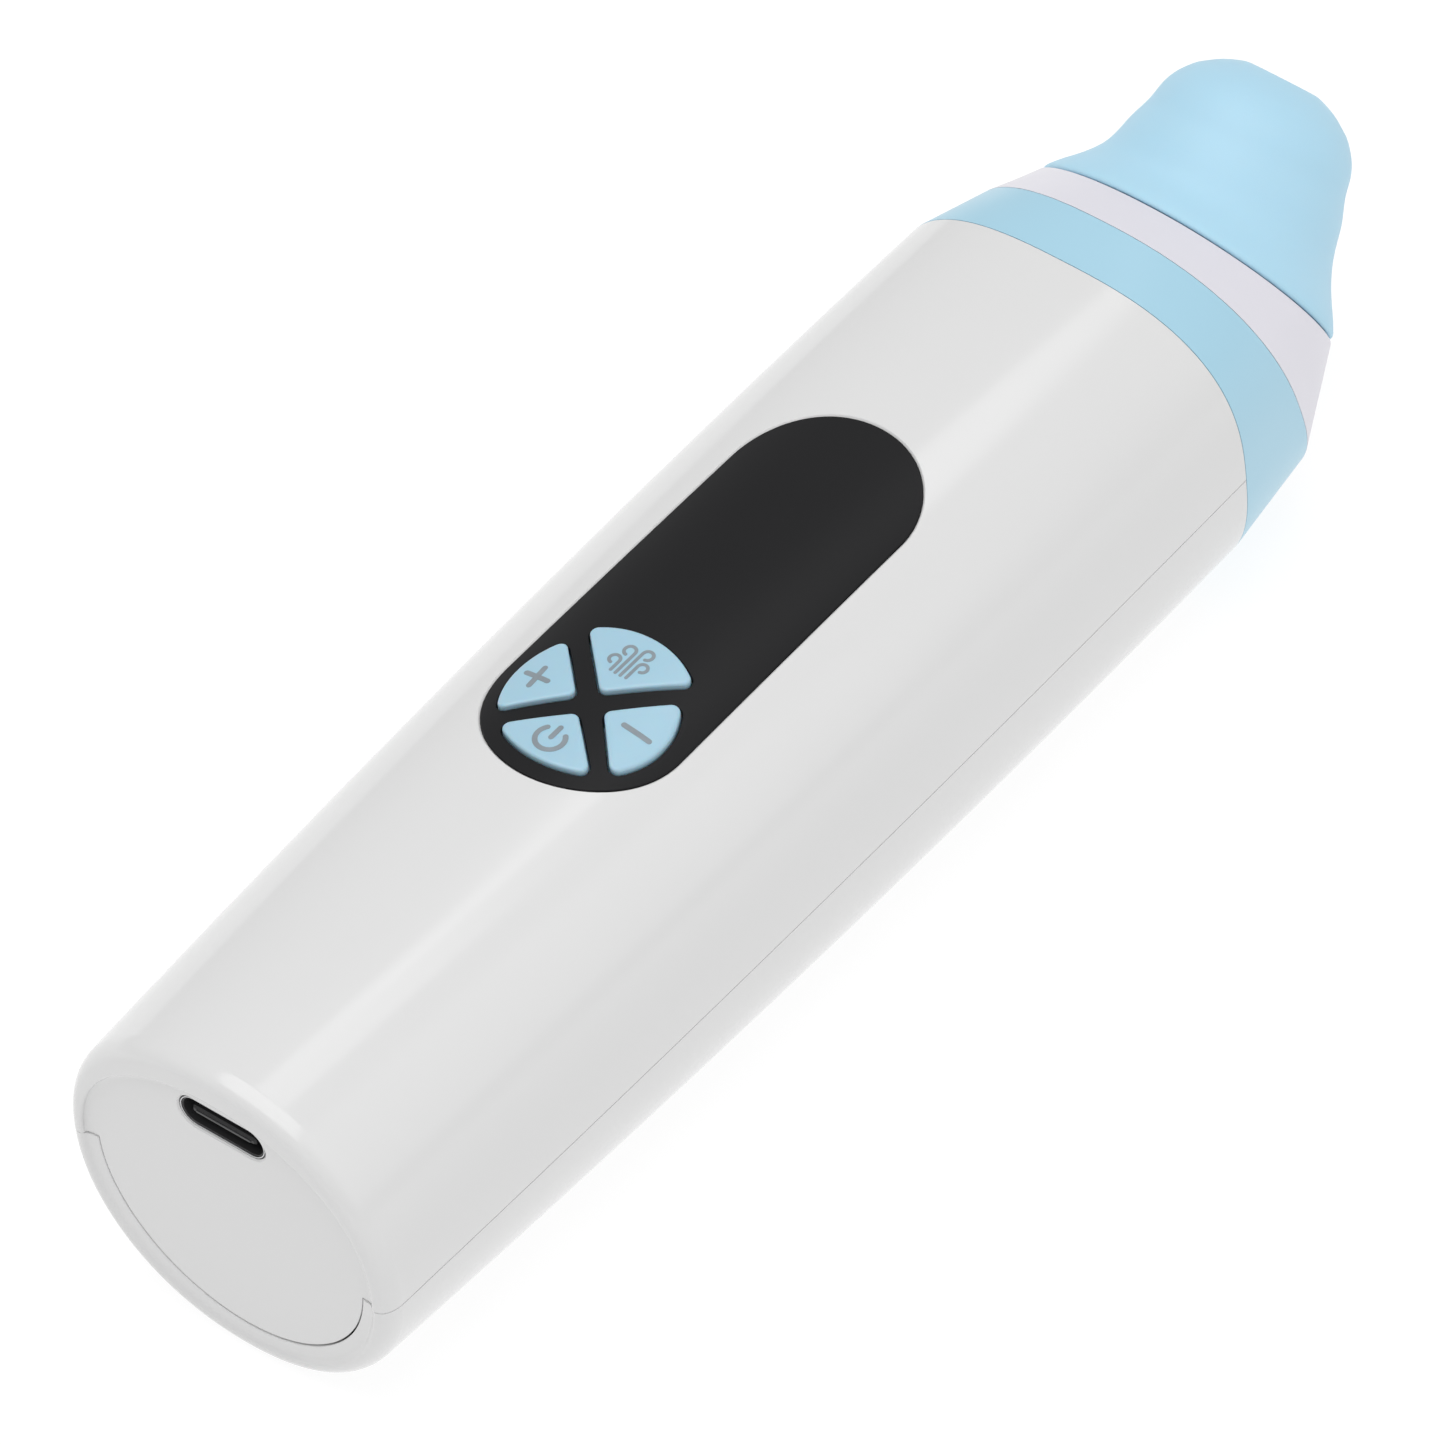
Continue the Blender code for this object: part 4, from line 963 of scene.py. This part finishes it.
def plan_triangles(loops, keep_off):
    """Points and triangles that fill the first loop outside the others."""
    points = [Vector(point) for loop in loops for point in loop]
    edges = []
    for loop in loops:
        first = len(edges)
        edges += [(first + k, first + (k + 1) % len(loop)) for k in range(len(loop))]
    x = PANEL_TAIL_X - PANEL_RADIUS
    while x < PANEL_NOSE_X + PANEL_RADIUS:
        y = -PANEL_RADIUS
        while y < PANEL_RADIUS:
            if on_plan(x, y, keep_off):
                points.append(Vector((x, y)))
            y += PANEL_PITCH
        x += PANEL_PITCH
    places, _, faces, _, _, _ = delaunay_2d_cdt(points, edges, [], 0, 1e-6)
    kept = []
    for face in faces:
        middle = sum((places[k] for k in face), Vector((0.0, 0.0))) / len(face)
        if on_plan(middle.x, middle.y, loops):
            kept.append(face)
    return places, kept


def make_display_panel(finish):
    """The black window: flush with the skin, its edges and button holes lightly rounded."""
    edge = HOLE_EDGE
    plan = panel_plan(edge)
    places, triangles = plan_triangles(plan, panel_plan(edge + PANEL_MARGIN))
    mesh = bmesh.new()
    top = [mesh.verts.new((p.x, p.y, skin_height(p.x, p.y))) for p in places]
    low = [mesh.verts.new((p.x, p.y, skin_height(p.x, p.y) - PANEL_THICKNESS)) for p in places]
    for face in triangles:
        mesh.faces.new([top[k] for k in face])
        mesh.faces.new([low[k] for k in reversed(face)])
    first = 0
    for drawn, full in zip(plan, panel_plan(0.0)):
        upper = eased(over_skin(drawn, 0.0), over_skin(full, 0.0), over_skin(full, -edge), 4)
        lower = eased(over_skin(full, edge - PANEL_THICKNESS), over_skin(full, -PANEL_THICKNESS),
                      over_skin(drawn, -PANEL_THICKNESS), 2)
        rings = [[mesh.verts.new(point) for point in points] for points in
                 [*upper[1:], *lower[:-1]]]
        stack = [top[first:first + len(drawn)], *rings, low[first:first + len(drawn)]]
        for one, other in zip(stack, stack[1:]):
            sew(mesh, one, other)
        first += len(drawn)
    bmesh.ops.recalc_face_normals(mesh, faces=mesh.faces)
    loose = [vertex for vertex in mesh.verts if not vertex.link_faces]
    bmesh.ops.delete(mesh, geom=loose, context="VERTS")
    finished("display_window", mesh, "handle", finish, ["display_panel"], skin=True)


def make_button(name, finish):
    """A cap with a pillowed edge over a flange that keeps it behind the panel."""
    flange = wedge(name, BUTTON_FLANGE)
    core = wedge(name)
    top = wedge(name, -BUTTON_ROUND)
    flange_top = -PANEL_THICKNESS - FLANGE_CLEARANCE
    shoulder = BUTTON_RAISE - BUTTON_ROUND
    rings = [[Vector((x, y, BUTTON_FLOOR)) for x, y in flange], over_skin(flange, flange_top),
             over_skin(core, flange_top), over_skin(core, shoulder - SHOULDER_START)]
    rings += eased(over_skin(core, shoulder), over_skin(core, BUTTON_RAISE),
                   over_skin(top, BUTTON_RAISE), 7)
    middle = sum((Vector(point) for point in core), Vector((0.0, 0.0))) / len(core)
    for share in CROWN_SHARES:
        crown = [middle + (Vector(point) - middle) * share for point in top]
        rings.append(over_skin([(p.x, p.y) for p in crown], BUTTON_RAISE))
    finished("cap_" + name, loft(rings), "key_" + name, finish,
             ["button_" + name])


def stroke(route, width):
    """A printed line with round ends, as a thin solid on the caps, along plan points."""
    half = width / 2.0
    left, right = [], []
    for k, point in enumerate(route):
        before = route[max(k - 1, 0)]
        after = route[min(k + 1, len(route) - 1)]
        along = (after - before).normalized()
        aside = Vector((-along.y, along.x)) * half
        left.append(point + aside)
        right.append(point - aside)
    start = math.atan2(left[-1].y - route[-1].y, left[-1].x - route[-1].x)
    end_cap = arc(route[-1], half, start, start - math.pi, 8)[1:-1]
    start = math.atan2(right[0].y - route[0].y, right[0].x - route[0].x)
    start_cap = arc(route[0], half, start, start - math.pi, 8)[1:-1]
    outline = [*left, *end_cap, *reversed(right), *start_cap]
    count = len(left)
    mesh = bmesh.new()
    sides = []
    for rise in (ICON_HEIGHT, -ICON_DEPTH):
        loop = over_skin([(p.x, p.y) for p in outline], BUTTON_RAISE + rise)
        sides.append([mesh.verts.new(point) for point in loop])
    sew(mesh, *sides)
    opposite = len(outline) - len(start_cap) - 1
    for loop in sides:
        for k in range(count - 1):
            mesh.faces.new((loop[k], loop[k + 1], loop[opposite - k - 1], loop[opposite - k]))
        mesh.faces.new(loop[count - 1:count + len(end_cap) + 1])
        mesh.faces.new([*loop[opposite:], loop[0]])
    bmesh.ops.recalc_face_normals(mesh, faces=mesh.faces)
    return mesh


def straight(x, y, end_x, end_y):
    """Plan points along a straight line, both ends included."""
    ends = Vector((x, y)), Vector((end_x, end_y))
    return [ends[0], *line(*ends, 8), ends[1]]


def swirl(y, start_x, centre_x, centre_y, side):
    """A stem along +X that curls back over itself, to +Y for side 1 and to -Y for side -1."""
    radius = (centre_y - y) * side
    centre = Vector((centre_x, centre_y))
    curl = arc(centre, radius, -0.5 * math.pi * side, 0.95 * math.pi * side, 24)
    stem_end = curl[0]
    return [*straight(start_x, y, stem_end.x - 0.05, y), *curl]


def make_icons(ink):
    """Generic printed symbols: plus, minus, power and moving air."""
    bold, fine = 0.52, 0.31
    plus_x, plus_y, arm = 49.4, 5.55, 1.14
    plus = [stroke(straight(plus_x - arm, plus_y - 0.08, plus_x + arm, plus_y + 0.08), bold),
            stroke(straight(plus_x - 0.02, plus_y - arm, plus_x + 0.02, plus_y + arm), bold)]
    minus = [stroke(straight(49.15, -3.95, 49.15, -6.5), bold)]
    centre = Vector((44.4, 0.03))
    opening = math.radians(48.0)
    ring_route = arc(centre, 1.28, opening, 2.0 * math.pi - opening, 36)
    power = [stroke(ring_route, bold - 0.04),
             stroke(straight(centre.x + 0.12, centre.y, centre.x + 1.4, centre.y), bold - 0.04)]
    base_x, base_y = 54.9, -0.05
    stems = ((0.84, -1.67, -0.53, 1.32, 1.0), (0.3, -1.73, 0.88, 0.82, 1.0),
             (-0.24, -1.75, 1.26, -0.74, -1.0), (-0.8, -1.68, -0.1, -1.26, -1.0))
    air = [stroke(swirl(base_y + y, base_x + start, base_x + cx, base_y + cy, side), fine)
           for y, start, cx, cy, side in stems]
    for name, strokes in (("plus", plus), ("minus", minus), ("power", power), ("suction", air)):
        finished("icon_" + name, joined(strokes), "key_" + name, ink)


# ---------------------------------------------------------------- head

def make_collar(finish):
    """The blue ring: it plugs into both shells and holds the cup's neck."""
    section = handle_section(HANDLE_LENGTH)
    plug = grown(section, -SPIGOT_STEP)
    start = Vector((HANDLE_LENGTH + SEAM_GAP, 0.0, 0.0))
    spigot = Vector((COLLAR_SPIGOT_X, 0.0, 0.0))
    near = ring(start, 0.0, *section)
    far = head_ring(COLLAR_FACE, 0.0, *COLLAR_RIM)
    back = -COLLAR_BORE_DEPTH
    face_centre, tilt = COLLAR_FACE
    throat_z = face_centre.z - math.sin(tilt) * COLLAR_THROAT_DROP
    throat = ring(Vector((COLLAR_SPIGOT_X, 0.0, throat_z)), 0.0, *COLLAR_THROAT, NECK_POWER)
    mouth = head_ring(COLLAR_FACE, back, *COLLAR_THROAT, NECK_POWER)
    lead, relief = 0.4, 0.3
    rings = [
        ring(start, 0.0, *plug),
        *eased(ring(start, 0.0, *grown(section, -SEAM_EDGE)), near, mixed(near, far, 0.008)),
        *[mixed(near, far, share) for share in BAND_SHARES],
        *eased(mixed(near, far, 0.992), far,
               head_ring(COLLAR_FACE, 0.0, *grown(COLLAR_RIM, -SEAM_EDGE))),
        *head_corner(COLLAR_FACE, ((0.0, *grown(COLLAR_BORE, lead)), (0.0, *COLLAR_BORE),
                                   (-lead, *COLLAR_BORE)), NECK_POWER),
        *head_rings(COLLAR_FACE, ((back + relief, *COLLAR_BORE),
                                  (back, *grown(COLLAR_BORE, -relief))), NECK_POWER),
        *eased(head_ring(COLLAR_FACE, back, *grown(COLLAR_THROAT, lead), NECK_POWER), mouth,
               mixed(mouth, throat, 0.05)),
        throat,
        ring(spigot, 0.0, *grown(plug, -relief)),
        ring(spigot + Vector((relief, 0.0, 0.0)), 0.0, *plug),
    ]
    finished("blue_collar", loft(rings, cyclic=True), "handle", finish,
             ["collar_ring"], sharp=40.0)


def cup_neck():
    """Rings of the neck that plugs into the collar, with the groove for its seal."""
    near, far = SEAL_GROOVE_SPAN
    back = -NECK_LENGTH
    lead = 0.5
    return [
        *head_corner(COLLAR_FACE, ((back, *grown(NECK, -lead)), (back, *NECK),
                                   (back + lead, *NECK)), NECK_POWER),
        *head_rings(COLLAR_FACE, ((near, *NECK), (near, *SEAL_GROOVE), (far, *SEAL_GROOVE),
                                  (far, *NECK), (SEAM_GAP, *NECK)), NECK_POWER),
    ]


def cup_band():
    """Rings of the white band that shows, from the collar's rim to the nozzle's base."""
    rear_rim = head_ring(COLLAR_FACE, SEAM_GAP, *COLLAR_RIM)
    front_rim = saddled(head_ring(CUP_FACE, 0.0, *CUP_RIM))
    return [
        *eased(head_ring(COLLAR_FACE, SEAM_GAP, *grown(COLLAR_RIM, -SEAM_EDGE)), rear_rim,
               mixed(rear_rim, front_rim, 0.01)),
        *[mixed(rear_rim, front_rim, share) for share in BAND_SHARES],
        *eased(mixed(rear_rim, front_rim, 0.98), front_rim,
               saddled(head_ring(CUP_FACE, 0.0, *grown(CUP_RIM, -EDGE)))),
    ]


def cup_mouth():
    """Rings of the front neck that the nozzle sits on, and of its bore."""
    length, lead, inner_lead = FRONT_NECK_LENGTH, 0.4, 0.3
    bore = FRONT_NECK_BORE
    return [
        head_ring(CUP_FACE, 0.0, *FRONT_NECK),
        *head_corner(CUP_FACE, ((length - lead, *FRONT_NECK), (length, *FRONT_NECK),
                                (length, *grown(FRONT_NECK, -lead)))),
        *head_corner(CUP_FACE, ((length, *grown(bore, inner_lead)), (length, *bore),
                                (length - inner_lead, *bore))),
        head_ring(CUP_FACE, -lead, *bore),
    ]


def cup_bowl():
    """Rings of the bowl and of the air tube that stands in its middle."""
    floor = FLOOR_THICKNESS - NECK_LENGTH
    round_floor, soft, top = 1.0, 0.2, AIR_TUBE_TOP
    outer, inner = ((radius, radius) for radius in AIR_TUBE_RADII)
    return [
        head_ring(COLLAR_FACE, BOWL_TOP, *BOWL, NECK_POWER),
        *head_corner(COLLAR_FACE, ((floor + round_floor, *BOWL), (floor, *BOWL),
                                   (floor, *grown(BOWL, -round_floor))), NECK_POWER),
        head_ring(COLLAR_FACE, floor, *outer),
        *head_corner(COLLAR_FACE, ((top - soft, *outer), (top, *outer),
                                   (top, *grown(outer, -soft))), steps=3),
        *head_corner(COLLAR_FACE, ((top, *grown(inner, soft)), (top, *inner),
                                   (top - soft, *inner)), steps=3),
        head_ring(COLLAR_FACE, -NECK_LENGTH, *inner),
    ]


def make_cup(finish):
    """The collection cup: the white ring outside, a bowl with a central air tube inside."""
    rings = [*cup_neck(), *cup_band(), *cup_mouth(), *cup_bowl()]
    finished("collection_bowl", loft(rings, cyclic=True), "cup", finish,
             ["collection_cup"], sharp=40.0)


def make_seal(finish):
    """The ring of rubber in the neck's groove."""
    middle = sum(SEAL_GROOVE_SPAN) / 2.0
    steps = 24
    section = []
    for k in range(steps):
        angle = 2.0 * math.pi * k / steps
        grow = SEAL_SECTION * math.sin(angle)
        section.append(head_ring(COLLAR_FACE, middle + SEAL_SECTION * math.cos(angle),
                                 *grown(SEAL_SIZE, grow), NECK_POWER))
    finished("neck_seal", loft(section, cyclic=True), "cup", finish, ["cup_seal"])


def make_bulkhead(pom, felt):
    """The wall behind the cup with its air spigot and hose nipple, and the felt filter on it."""
    profile = ((-10.8, 3.2), (-10.5, 3.0), (-1.7, 3.0), (-1.5, 2.8), (-1.5, 1.5),
               (-1.7, INLET_BORE), (-16.0, INLET_BORE), (-16.0, NIPPLE_RADIUS - 0.3),
               (-15.2, NIPPLE_RADIUS + 0.15), (-14.7, NIPPLE_RADIUS), (-12.5, NIPPLE_RADIUS))
    rings = [head_ring(COLLAR_FACE, s, r, r, 2.0, MEDIUM_RING) for s, r in profile]
    wall = [head_ring(COLLAR_FACE, s, *grown(BULKHEAD, -inset), NECK_POWER, MEDIUM_RING)
            for s, inset in ((-12.5, 0.2), (-12.3, 0.0), (-11.0, 0.0), (-10.8, 0.2))]
    finished("air_bulkhead", loft([*rings, *wall], cyclic=True), "handle", pom,
             ["inlet_bulkhead"])
    pad = [head_ring(COLLAR_FACE, s, *grown(FELT, -inset), NECK_POWER, MEDIUM_RING)
           for s, inset in ((-10.4, 0.2), (-10.2, 0.0), (-8.7, 0.0), (-8.4, 0.3))]
    pad += [head_ring(COLLAR_FACE, s, r, r, 2.0, MEDIUM_RING)
            for s, r in ((-8.4, 3.7), (-8.6, 3.45), (-10.4, 3.4))]
    finished("felt_filter", loft(pad, cyclic=True), "handle", felt, ["filter_felt"])


def nozzle_radius(share):
    """Radius of the nozzle at a share of its length: straight stretches, then a dome."""
    dome_start, dome_radius = NOZZLE_RADII[-1]
    if share >= dome_start:
        rise = min(1.0, (share - dome_start) / (1.0 - dome_start))
        return dome_radius * math.cos(math.asin(rise)) ** NOZZLE_DOME_POWER
    for (start, first), (end, last) in zip(NOZZLE_RADII, NOZZLE_RADII[1:]):
        if share <= end:
            return first + (last - first) * (share - start) / (end - start)
    return dome_radius


def soft_radius(share):
    """The nozzle's radius with the corners between its stretches smoothed away."""
    reach = max(0.0, min(NOZZLE_SOFTENING, share, 0.9 - share))
    steps = 6
    total = weight_sum = 0.0
    for k in range(-steps, steps + 1):
        weight = steps + 1 - abs(k)
        total += weight * nozzle_radius(share + reach * k / steps)
        weight_sum += weight
    return total / weight_sum


def nozzle_blend(share):
    """How far the bend and the change from oval to round have gone, 0 to 1."""
    t = min(1.0, share / NOZZLE_BEND_END)
    return t * t * (3.0 - 2.0 * t)


def nozzle_tilt(share):
    """Tilt of the nozzle's bent axis at a share of its length."""
    return CUP_FACE[1] + (NOZZLE_TIP_TILT - CUP_FACE[1]) * nozzle_blend(share)


def nozzle_ring(share, radius):
    """A ring of the nozzle at a share of the way along its bent axis."""
    centre = CUP_FACE[0].copy()
    steps = 40
    for k in range(steps):
        tilt = nozzle_tilt(share * (k + 0.5) / steps)
        centre += Vector((math.cos(tilt), 0.0, math.sin(tilt))) * (NOZZLE_LENGTH * share / steps)
    squash = NOZZLE_BASE_SQUASH + (NOZZLE_TIP_SQUASH - NOZZLE_BASE_SQUASH) * nozzle_blend(share)
    points = ring(centre, nozzle_tilt(share), radius, radius * squash)
    return saddled(points, max(0.0, 1.0 - share / NOZZLE_SETTLE))


def dome_share(radius):
    """Share of the length at which the dome has narrowed to a radius."""
    dome_start, dome_radius = NOZZLE_RADII[-1]
    rise = math.sqrt(1.0 - (radius / dome_radius) ** (2.0 / NOZZLE_DOME_POWER))
    return dome_start + (1.0 - dome_start) * rise


def lip_share(radius):
    """As dome_share, with the slight swelling round the hole."""
    rise, reach = NOZZLE_LIP
    return dome_share(radius) + rise * (1.0 - (radius / reach) ** 2)


def make_nozzle(finish):
    """The soft tip: a socket over the cup's neck, a chamber and a round hole at the end."""
    base = NOZZLE_GAP / NOZZLE_LENGTH
    hole = dome_share(NOZZLE_HOLE)
    count = 40
    shares = [0.02 + 0.86 * k / count for k in range(1, count + 1)]
    side = [nozzle_ring(share, soft_radius(share)) for share in shares]
    dome = [nozzle_ring(lip_share(radius), radius) for radius in (5.9, 5.3, 4.7, 4.2, 3.8)]
    outer = [*eased(nozzle_ring(base, nozzle_radius(base) - 0.25),
                    nozzle_ring(base, nozzle_radius(base)),
                    nozzle_ring(0.028, soft_radius(0.028))), *side, *dome]
    lip = eased(nozzle_ring(lip_share(3.5), 3.5), nozzle_ring(lip_share(NOZZLE_HOLE), NOZZLE_HOLE),
                nozzle_ring(hole - 0.05, NOZZLE_HOLE), 6)
    chamber = [nozzle_ring(hole - 0.1, NOZZLE_HOLE)]
    for share in CHAMBER_SHARES:
        inner = soft_radius(min(0.98, share + 0.04)) - NOZZLE_WALL
        chamber.append(nozzle_ring(share, max(inner, NOZZLE_HOLE)))
    deep = FRONT_NECK_LENGTH + SOCKET_CLEARANCE
    socket = head_rings(CUP_FACE, ((deep, *grown(SOCKET, -0.4)), (deep, *SOCKET), (0.6, *SOCKET),
                                   (NOZZLE_GAP, *grown(SOCKET, 0.35))))
    finished("soft_nozzle", loft([*outer, *lip, *chamber, *socket], cyclic=True), "nozzle",
             finish, ["nozzle_tip"], sharp=50.0)


# ---------------------------------------------------------------- CAD nodes that stay

CARRIED = {
    "board_green": ("main_board",),
    "bright_steel": ("board_screw_", "switch_body_", "motor_can", "motor_shaft", "drive_pin"),
    "dark_resin": ("display_module", "controller_chip", "charger_chip", "boost_inductor",
                   "motor_endcap", "switch_plunger_"),
    "grey_pom": ("battery_tray", "eccentric_hub", "pump_base", "wobble_plate", "valve_plate",
                 "pump_cover"),
    "cell_wrap": ("battery_cell",),
    "magnet_iron": ("motor_magnet_", "rotor_core"),
    "commutator_copper": ("commutator",),
    "black_rubber": ("pump_sleeve", "diaphragm"),
    "blue_silicone": ("inlet_hose",),
    "lead_red": ("battery_lead_plus", "motor_lead_left"),
    "lead_black": ("battery_lead_minus", "motor_lead_right"),
}
SOFTENED = ("main_board", "display_module", "controller_chip", "charger_chip", "boost_inductor",
            "switch_body_", "switch_plunger_", "motor_can", "motor_endcap", "battery_tray",
            "pump_base", "pump_cover", "valve_plate", "eccentric_hub", "rotor_core")


def dress_nodes(finishes):
    """Gives the nodes that stay their finishes, and a small radius to the moulded ones."""
    for name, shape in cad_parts.items():
        if shape.hide_render:
            continue
        slot = next(key for key, stems in CARRIED.items() if name.startswith(stems))
        shape.data.materials.clear()
        shape.data.materials.append(finishes[slot])
        if name.startswith(SOFTENED):
            soften = shape.modifiers.new("small_radius", "BEVEL")
            soften.width = 0.12 * MM
            soften.segments = 2
            soften.limit_method = "ANGLE"
            soften.angle_limit = math.radians(40.0)


# ---------------------------------------------------------------- stage, light, camera

def make_floor():
    """A plain pale floor that stays as light as the paper behind it."""
    mesh = bmesh.new()
    bmesh.ops.create_grid(mesh, x_segments=8, y_segments=8, size=3.0)
    floor = helper("studio_floor", mesh)
    floor.location.z = -0.0002
    paper = surface("studio_paper", (0.22, 0.22, 0.22), 0.9, spread=0.002, drift=2.0,
                    grain=400.0, depth=0.01, sockets=(("Specular IOR Level", 0.0),
                                                      ("Emission Color", (1.0, 1.0, 1.0, 1.0)),
                                                      ("Emission Strength", 0.83)))
    floor.data.materials.append(paper)


LIGHTS = (
    ("top_softbox", (-0.15, 0.0, 1.0), (0.0, 1.0, 0.0), 1.6, (1.5, 1.5), 2.0),
    ("side_softbox", (0.1, -0.8, 0.6), (1.0, 0.0, 0.0), 1.6, (1.5, 1.5), 0.43),
    ("tail_softbox", (0.403, 0.01, 0.915), (0.0, 1.0, 0.0), 6.0, (1.9, 0.55), 1.55),
    ("strip_softbox", (0.53, 0.19, 0.83), (0.45, 0.89, 0.0), 6.0, (2.0, 0.8), 1.5),
)
ROOM_LIGHT = 0.575


def add_light(name, towards, along, distance, size, radiance):
    """A soft light that faces the object from a direction, its first side laid along another."""
    lamp = bpy.data.lights.new(name, "AREA")
    lamp.shape = "RECTANGLE"
    lamp.size, lamp.size_y = size
    lamp.energy = radiance * math.pi * lamp.size * lamp.size_y
    light = bpy.data.objects.new(name, lamp)
    way = Vector(towards).normalized()
    first = (Vector(along) - way * way.dot(Vector(along))).normalized()
    turn = Matrix((first, way.cross(first), way)).transposed()
    place = (cad_low + cad_high) / 2.0 + way * distance
    light.matrix_world = Matrix.Translation(place) @ turn.to_4x4()
    bpy.context.scene.collection.objects.link(light)


def make_light():
    """An even room, two large softboxes and two narrow ones for the long reflections."""
    world = bpy.data.worlds.new("soft_room")
    bpy.context.scene.world = world
    world.use_nodes = True
    sky = world.node_tree.nodes["Background"]
    sky.inputs["Color"].default_value = (1.0, 1.0, 1.0, 1.0)
    sky.inputs["Strength"].default_value = ROOM_LIGHT
    for light in LIGHTS:
        add_light(*light)


def make_camera():
    """The camera's own axes, from its bearing, height and roll, and its place from its target."""
    bearing, height, roll = (math.radians(turn) for turn in CAMERA_TURN)
    back = Vector((math.sin(bearing) * math.cos(height), -math.cos(bearing) * math.cos(height),
                   math.sin(height)))
    right = Vector((math.cos(bearing), math.sin(bearing), 0.0))
    up = back.cross(right)
    across = right * math.cos(roll) + up * math.sin(roll)
    upward = up * math.cos(roll) - right * math.sin(roll)
    aside, rise = CAMERA_SHIFT
    target = CAMERA_TARGET + across * aside + upward * rise
    place = ORIGIN + (target + back * CAMERA_DISTANCE) * MM
    lens = bpy.data.cameras.new("camera")
    lens.lens = CAMERA_LENS
    lens.sensor_width = 36.0
    lens.clip_start = 0.05
    lens.clip_end = 20.0
    camera = bpy.data.objects.new("camera", lens)
    turn = Matrix((across, upward, back)).transposed()
    camera.matrix_world = Matrix.Translation(place) @ turn.to_4x4()
    bpy.context.scene.collection.objects.link(camera)
    bpy.context.scene.camera = camera


# ---------------------------------------------------------------- the object

FINISHES = make_finishes()
make_front_shell(FINISHES["body"])
make_rear_shell(FINISHES["body"])
make_usb_port(FINISHES["bright_steel"], FINISHES["dark_resin"])
make_display_panel(FINISHES["black_panel"])
for button_name in BUTTONS:
    make_button(button_name, FINISHES["button_blue"])
make_icons(print_ink())
make_collar(FINISHES["blue_collar"])
make_cup(FINISHES["cup_white"])
make_seal(FINISHES["black_rubber"])
make_bulkhead(FINISHES["grey_pom"], FINISHES["white_felt"])
make_nozzle(FINISHES["blue_silicone"])
dress_nodes(FINISHES)
make_floor()
make_light()
make_camera()
bpy.context.scene.view_settings.view_transform = "Standard"
